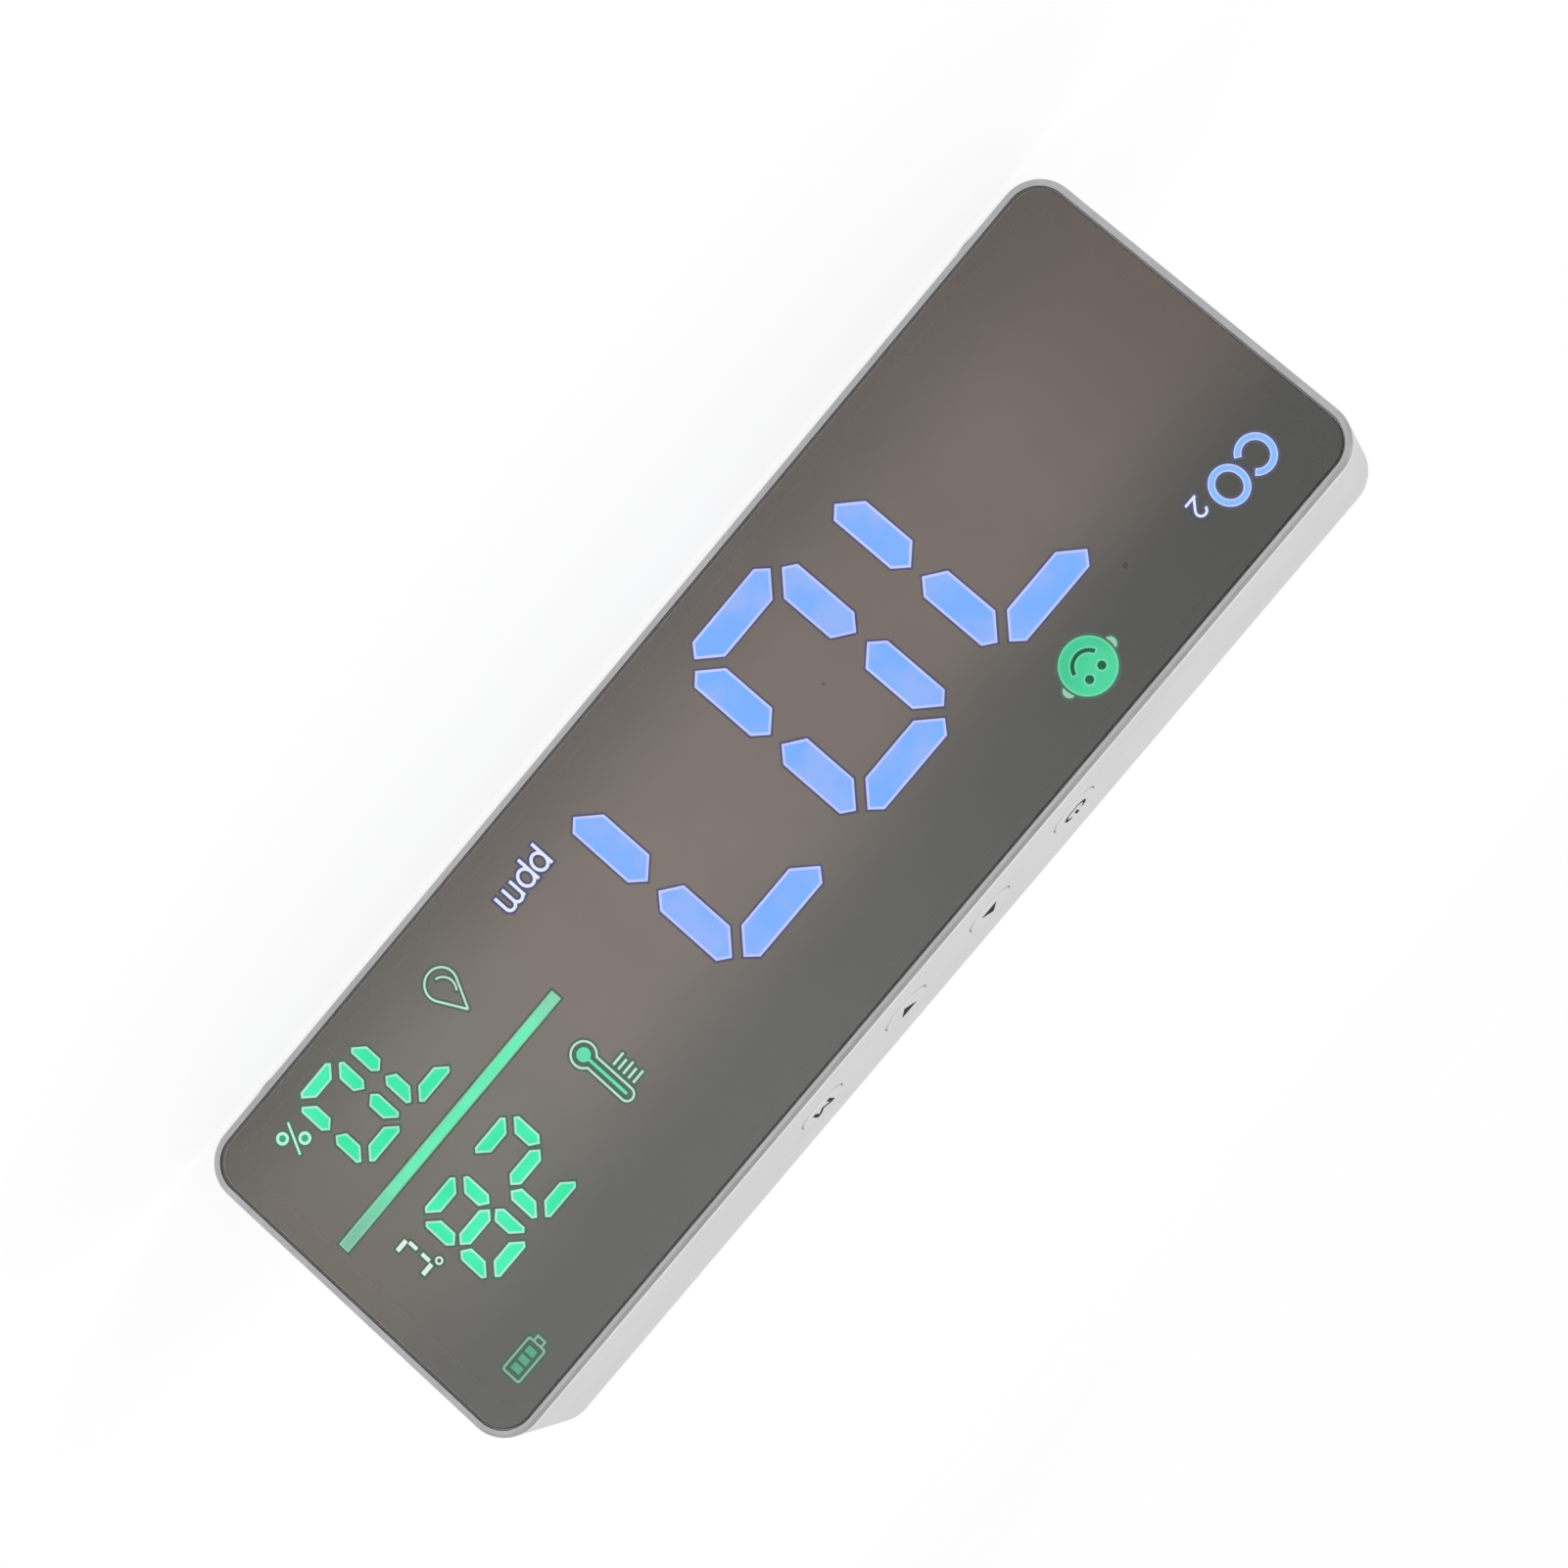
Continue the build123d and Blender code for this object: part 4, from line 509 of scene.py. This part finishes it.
def arc(radius, start, end, steps):
    """Points along an arc about the origin, its angles in degrees."""
    return [
        (
            radius * math.cos(math.radians(start + (end - start) * i / steps)),
            radius * math.sin(math.radians(start + (end - start) * i / steps)),
        )
        for i in range(steps + 1)
    ]


def rounded(points, radius, steps=4):
    """The same outline with each corner replaced by a short curve."""
    result = []
    for i, point in enumerate(points):
        here = Vector(point)
        before = (Vector(points[i - 1]) - here).normalized() * radius
        after = (Vector(points[(i + 1) % len(points)]) - here).normalized() * radius
        for step in range(steps + 1):
            t = step / steps
            p = (here + before) * (1 - t) ** 2 + here * 2 * t * (1 - t) + (here + after) * t**2
            result.append((p.x, p.y))
    return result


# Sizes of the marks in mm: power ring, width of its line, and the letter M with its strokes.
POWER_R = 2.4
INK_W = 0.68
power_ring = arc(POWER_R, 125, 415, 36) + arc(POWER_R - INK_W, 415, 125, 36)
power_bar = [(-INK_W / 2, 0.35), (INK_W / 2, 0.35), (INK_W / 2, 2.75), (-INK_W / 2, 2.75)]
arrow = rounded([(-1.75, -1.95), (1.75, -1.95), (0, 2.35)], 0.35)
M_W, M_H, M_T = 4.0, 4.2, 0.74
letter_m = [
    (-M_W / 2, -M_H / 2),
    (-M_W / 2 + M_T, -M_H / 2),
    (-M_W / 2 + M_T, M_H / 2 - 1.45),
    (0, -M_H / 2 + 0.9),
    (M_W / 2 - M_T, M_H / 2 - 1.45),
    (M_W / 2 - M_T, -M_H / 2),
    (M_W / 2, -M_H / 2),
    (M_W / 2, M_H / 2),
    (M_W / 2 - M_T * 1.05, M_H / 2),
    (0, -M_H / 2 + 2.3),
    (-M_W / 2 + M_T * 1.05, M_H / 2),
    (-M_W / 2, M_H / 2),
]
BUTTON_MARKS = {
    "power": [power_ring, power_bar],
    "up": [arrow],
    "down": [[(x, -y) for x, y in reversed(arrow)]],
    "mode": [letter_m],
}
INK_T = 0.015 * MM
for key, outlines in BUTTON_MARKS.items():
    low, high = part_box("button_" + key)
    centre = ((low[0] + high[0]) / 2, (low[1] + high[1]) / 2)
    placed = [about(centre, outline) for outline in outlines]
    data = prism("print_" + key, placed, high[2] - INK_T, high[2] + INK_T)
    finished("print_" + key, data, INK, "button_" + key)


# ---------------------------------------------------------------- lit marks on the lens
# Depths of the thin glow pieces: marks in front, then their dark middles, then their borders.
GLOW_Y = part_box("mirror_lens")[0][1] - 0.020 * MM
MIDDLE_Y = GLOW_Y + 0.003 * MM
BORDER_Y = GLOW_Y + 0.008 * MM
BORDER_WIDTH = 0.34 * MM
GLOW_T = 0.003 * MM


def front_faces(node, y):
    """The front faces of a CAD node, laid flat at y."""
    flat = bmesh.new()
    flat.from_mesh(frame["nodes"][node].data)
    bmesh.ops.remove_doubles(flat, verts=flat.verts, dist=1e-6)
    others = [f for f in flat.faces if f.normal.y > -0.99]
    bmesh.ops.delete(flat, geom=others, context="FACES")
    for vert in flat.verts:
        vert.co.y = y
    return flat


# Keeps sharp corners from being pushed out too far.
SHARPEST_SPREAD = 0.35


def grow(flat, distance):
    """Moves every border of flat faces outward by a distance, or inward if it is negative."""
    moves = {}
    for vert in flat.verts:
        outward = []
        for edge in vert.link_edges:
            if edge.is_boundary:
                along = (edge.verts[1].co - edge.verts[0].co).normalized()
                side = Vector((along.z, 0, -along.x))
                inside = edge.link_faces[0].calc_center_median() - edge.verts[0].co
                outward.append(side if side.dot(inside) < 0 else -side)
        if len(outward) == 2:
            spread = max(SHARPEST_SPREAD, 1 + outward[0].dot(outward[1]))
            moves[vert] = (outward[0] + outward[1]) * (distance / spread)
    for vert, move in moves.items():
        vert.co += move


def unseen_in_mirror(piece):
    """Leaves a glow out of the lens's own reflections and shadows: its light comes from behind."""
    piece.visible_glossy = False
    piece.visible_shadow = False
    return piece


def flat_piece(name, flat, material):
    """Turns flat faces into a thin piece that rides on the monitor."""
    raised = bmesh.ops.extrude_face_region(flat, geom=flat.faces[:])
    back = [item for item in raised["geom"] if isinstance(item, bmesh.types.BMVert)]
    bmesh.ops.translate(flat, verts=back, vec=(0, GLOW_T, 0))
    bmesh.ops.recalc_face_normals(flat, faces=flat.faces)
    data = bpy.data.meshes.new(name)
    flat.to_mesh(data)
    flat.free()
    return unseen_in_mirror(finished(name, data, material, "monitor"))


def glow(node, name, material, slot, border, edge=0.0, edge_material=None, slim=0.0):
    """Glow on the front of the lens over each lit mark of a node, where its light comes through.

    A dim border of stray light surrounds it. With an edge, a paler rim is kept apart as a piece.
    """
    halo = front_faces(node, BORDER_Y)
    grow(halo, BORDER_WIDTH)
    flat_piece(name + "_border", halo, border)
    flat = front_faces(node, GLOW_Y)
    grow(flat, -slim)
    if edge:
        ring = bmesh.ops.inset_region(
            flat, faces=flat.faces[:], thickness=edge, use_boundary=True, use_even_offset=True
        )["faces"]
        flat.faces.index_update()
        rim = {f.index for f in ring}
        outer = flat.copy()
        outer.faces.ensure_lookup_table()
        core = [f for f in outer.faces if f.index not in rim]
        bmesh.ops.delete(outer, geom=core, context="FACES")
        flat_piece(name + "_edge", outer, edge_material)
        flat.faces.ensure_lookup_table()
        bmesh.ops.delete(flat, geom=[f for f in flat.faces if f.index in rim], context="FACES")
    flat_piece(name, flat, material)


BLUE = lit_diffuser("glow_blue", (0.20, 0.44, 1.0), (0.30, 0.47, 0.96), 0.97, 120.0)
GREEN = lit_diffuser("glow_green", (0.070, 0.86, 0.47), (0.045, 0.79, 0.37), 1.0)
FACE = lit_diffuser("glow_face", (0.080, 0.65, 0.34), (0.055, 0.56, 0.28), 1.0)
BLUE_EDGE = lit_diffuser("edge_blue", (0.55, 0.60, 0.98), (0.48, 0.54, 0.95), 1.0)
BLUE_BORDER = lit_diffuser("border_blue", (0.092, 0.100, 0.185), (0.080, 0.088, 0.150), 1.0)
GREEN_BORDER = lit_diffuser("border_green", (0.075, 0.165, 0.115), (0.068, 0.140, 0.100), 1.0)
LETTER_EDGE = lit_diffuser(
    "edge_letters",
    (0.60, 0.67, 0.97),
    (0.52, 0.60, 0.93),
    1.0,
    tints=[([(0, -0.0780, -0.0775)], (0.76, 0.80, 1.0))],
)
GREEN_EDGE = lit_diffuser("edge_green", (0.48, 0.82, 0.68), (0.38, 0.74, 0.58), 1.0)
FACE_EDGE = lit_diffuser("edge_face", (0.17, 0.68, 0.42), (0.14, 0.62, 0.37), 1.0)
DIVIDER_EDGE = lit_diffuser("edge_divider", (0.30, 0.62, 0.46), (0.26, 0.56, 0.41), 1.0)
SMALL_BLUE = lit_diffuser(
    "small_letters",
    (0.25, 0.50, 0.96),
    (0.22, 0.46, 0.93),
    1.0,
    tints=[([(0, -0.0780, -0.0775)], (0.76, 0.80, 1.0))],
)
DIVIDER_LOW, DIVIDER_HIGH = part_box("divider_bar")
DIVIDER = lit_diffuser(
    "divider_light",
    (0.165, 0.88, 0.50),
    (0.125, 0.82, 0.44),
    1.0,
    140.0,
    [
        ([(0, DIVIDER_LOW[0] + 0.009, DIVIDER_LOW[0])], (0.23, 0.66, 0.43)),
        ([(0, DIVIDER_HIGH[0] - 0.018, DIVIDER_HIGH[0])], (0.21, 0.50, 0.35)),
    ],
)
FILLS = lit_diffuser(
    "icon_light",
    (0.155, 0.73, 0.44),
    (0.130, 0.68, 0.40),
    1.0,
    tints=[
        ([(2, 0.052, 0.053)], (0.115, 0.375, 0.240)),
        ([(0, 0.083, 0.084), (2, 0.014, 0.013)], (0.48, 0.84, 0.66)),
    ],
)
OUTLINES = lit_diffuser(
    "outline_light",
    (0.56, 0.76, 0.63),
    (0.50, 0.70, 0.57),
    1.0,
    tints=[
        ([(2, 0.052, 0.053)], (0.27, 0.44, 0.36)),
        ([(0, -0.030, -0.031)], (0.32, 0.57, 0.43)),
        ([(0, 0.083, 0.084), (2, 0.045, 0.044)], (0.72, 0.84, 0.76)),
    ],
)
LETTERS = ("lit_pale_blue", BLUE_BORDER, 0.19 * MM, LETTER_EDGE, 0.05 * MM)
glow("co2_bars", "co2_glow", BLUE, "lit_blue", BLUE_BORDER, 0.40 * MM, BLUE_EDGE)
glow("co2_name", "letter_glow", SMALL_BLUE, *LETTERS)
glow("climate_bars", "climate_glow", GREEN, "lit_green", GREEN_BORDER, 0.33 * MM, GREEN_EDGE)
glow("divider_bar", "divider_glow", DIVIDER, "lit_green", GREEN_BORDER, 0.25 * MM, DIVIDER_EDGE)
glow("face_mark", "face_glow", FACE, "lit_face_green", GREEN_BORDER, 0.3 * MM, FACE_EDGE, 0.08 * MM)
glow("icon_fills", "fill_glow", FILLS, "lit_green", GREEN_BORDER)
glow("icon_outlines", "outline_glow", OUTLINES, "lit_pale_green", GREEN_BORDER)


SMUDGE = black_package("smoked_dot", (0.062, 0.050, 0.043), 0.8)
PERCENT_DEPTH = lit_diffuser("percent_depth", (0.045, 0.40, 0.22), (0.035, 0.34, 0.19), 1.0)
FACE_DEPTH = lit_diffuser("face_depth", (0.010, 0.125, 0.068), (0.008, 0.105, 0.056), 1.0)


def dot(name, centre, radius, y, material):
    """A thin round dot: its centre along X and Z in metres, its radius in mm, its front at y."""
    mesh = bmesh.new()
    outline = about(centre, arc(radius, 0, 354, 59))
    face = mesh.faces.new([mesh.verts.new((px, y, pz)) for px, pz in outline])
    raised = bmesh.ops.extrude_face_region(mesh, geom=[face])
    back = [item for item in raised["geom"] if isinstance(item, bmesh.types.BMVert)]
    bmesh.ops.translate(mesh, verts=back, vec=(0, GLOW_T, 0))
    bmesh.ops.recalc_face_normals(mesh, faces=mesh.faces)
    data = bpy.data.meshes.new(name)
    mesh.to_mesh(data)
    mesh.free()
    return unseen_in_mirror(finished(name, data, material, "monitor"))


def middle_of(node):
    """The middle of a node along X and Z, and half its width, in metres."""
    low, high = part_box(node)
    return ((low[0] + high[0]) / 2, (low[2] + high[2]) / 2, (high[0] - low[0]) / 2)


face_x, face_z, face_radius = middle_of("face_mark")
dot("face_depth", (face_x, face_z), face_radius / MM - 0.2, MIDDLE_Y, FACE_DEPTH)
sensor_x, sensor_z, _ = middle_of("light_sensor")
dot("sensor_window", (sensor_x, sensor_z), 0.5, GLOW_Y, SMUDGE)
dot("lens_speck", (-19.8 * MM, 27.7 * MM), 0.2, GLOW_Y, SMUDGE)
for name, x, z in (("percent_depth_high", 85.2, 11.1), ("percent_depth_low", 87.65, 8.45)):
    dot(name, (x * MM, z * MM), 0.8, MIDDLE_Y, PERCENT_DEPTH)


# ---------------------------------------------------------------- floor, light and camera
def stage_floor():
    """A plain white floor, with a little light of its own so that it stays as pale as the sky."""
    mesh = bmesh.new()
    side = 6.0
    corners = [mesh.verts.new((x * side, y * side, 0)) for x, y in ((-1, -1), (1, -1), (1, 1), (-1, 1))]
    mesh.faces.new(corners)
    data = bpy.data.meshes.new("floor")
    mesh.to_mesh(data)
    mesh.free()
    floor = bpy.data.objects.new("floor", data)
    bpy.context.scene.collection.objects.link(floor)
    s = Shader("floor_white", specular=0.1)
    s.colour(s.mix(s.noise(3.0), (0.27, 0.27, 0.27), (0.29, 0.29, 0.29)))
    s.roughness(0.95)
    s.light(s.mix(s.remap(s.axis(1), 0.8, 3.0), (0.96, 0.96, 0.96), (1.0, 1.0, 1.0)), 0.77)
    data.materials.append(s.material)


stage_floor()


# What the three softboxes point at: about the middle of the monitor.
AIM = (0, 0, 0.03)


def area_light(name, place, size, power):
    """A rectangular softbox that points at the monitor."""
    data = bpy.data.lights.new(name, "AREA")
    data.shape = "RECTANGLE"
    data.size = size[0]
    data.size_y = size[1]
    data.energy = power
    lamp = bpy.data.objects.new(name, data)
    bpy.context.scene.collection.objects.link(lamp)
    lamp.location = place
    lamp.rotation_euler = (Vector(AIM) - Vector(place)).to_track_quat("-Z", "Y").to_euler()


area_light("key_light", (-0.9, -1.0, 1.5), (1.4, 1.0), 6.0)
area_light("fill_light", (1.2, -0.8, 1.2), (1.2, 1.2), 2.0)
area_light("back_light", (0.1, 1.3, 1.3), (1.6, 0.8), 3.0)

FRONT_GREY = (1.0, 1.0, 1.0, 1.0)
BACK_GREY = (0.62, 0.62, 0.62, 1.0)
ZENITH_GREY = (0.62, 0.62, 0.62, 1.0)
SEEN_WHITE = (0.99, 0.99, 0.99, 1.0)


def studio_light(tree):
    """A softbox room: bright in front, dimmer overhead and behind, and plain white to the camera."""

    def node(kind, **settings):
        made = tree.nodes.new(kind)
        for key, value in settings.items():
            setattr(made, key, value)
        return made

    background = tree.nodes["Background"]
    direction = node("ShaderNodeTexCoord").outputs["Generated"]
    parts = node("ShaderNodeSeparateXYZ")
    tree.links.new(direction, parts.inputs[0])
    around = node("ShaderNodeValToRGB")
    around.color_ramp.interpolation = "EASE"
    shift = node("ShaderNodeMath", operation="MULTIPLY_ADD")
    shift.inputs[1].default_value = 0.5
    shift.inputs[2].default_value = 0.5
    tree.links.new(parts.outputs["Y"], shift.inputs[0])
    tree.links.new(shift.outputs[0], around.inputs[0])
    stops = around.color_ramp.elements
    stops[0].position = 0.15
    stops[0].color = FRONT_GREY
    stops[1].position = 0.85
    stops[1].color = BACK_GREY
    above = node("ShaderNodeMapRange", interpolation_type="SMOOTHSTEP")
    above.inputs["From Min"].default_value = 0.55
    above.inputs["From Max"].default_value = 0.95
    tree.links.new(parts.outputs["Z"], above.inputs["Value"])
    blend = node("ShaderNodeMix", data_type="RGBA")
    tree.links.new(above.outputs[0], blend.inputs[0])
    tree.links.new(around.outputs[0], blend.inputs[6])
    blend.inputs[7].default_value = ZENITH_GREY
    path = node("ShaderNodeLightPath")
    seen = node("ShaderNodeMix", data_type="RGBA")
    tree.links.new(path.outputs["Is Camera Ray"], seen.inputs[0])
    tree.links.new(blend.outputs[2], seen.inputs[6])
    seen.inputs[7].default_value = SEEN_WHITE
    tree.links.new(seen.outputs[2], background.inputs["Color"])
    background.inputs["Strength"].default_value = 1.0


world = bpy.data.worlds.new("studio")
world.use_nodes = True
studio_light(world.node_tree)
bpy.context.scene.world = world
bpy.context.scene.view_settings.view_transform = "Standard"

# The camera's place, and its own right, down and forward directions: it is rolled so far over that
# the monitor shows about 130 degrees round.
CAMERA_PLACE = (-0.057815, -0.621919, 0.162005)
RIGHT = Vector((-0.64055615, 0.21331086, 0.73768984))
DOWN = Vector((0.76311043, 0.06956998, 0.64251264))
FORWARD = Vector((0.08573386, 0.97450423, -0.20734322))
camera_data = bpy.data.cameras.new("camera")
camera_data.sensor_width = 36.0
camera_data.lens = 94.90
camera_data.clip_start = 0.01
camera = bpy.data.objects.new("camera", camera_data)
bpy.context.scene.collection.objects.link(camera)
camera.matrix_world = Matrix(
    (
        (RIGHT.x, -DOWN.x, -FORWARD.x, CAMERA_PLACE[0]),
        (RIGHT.y, -DOWN.y, -FORWARD.y, CAMERA_PLACE[1]),
        (RIGHT.z, -DOWN.z, -FORWARD.z, CAMERA_PLACE[2]),
        (0, 0, 0, 1),
    )
)
bpy.context.scene.camera = camera
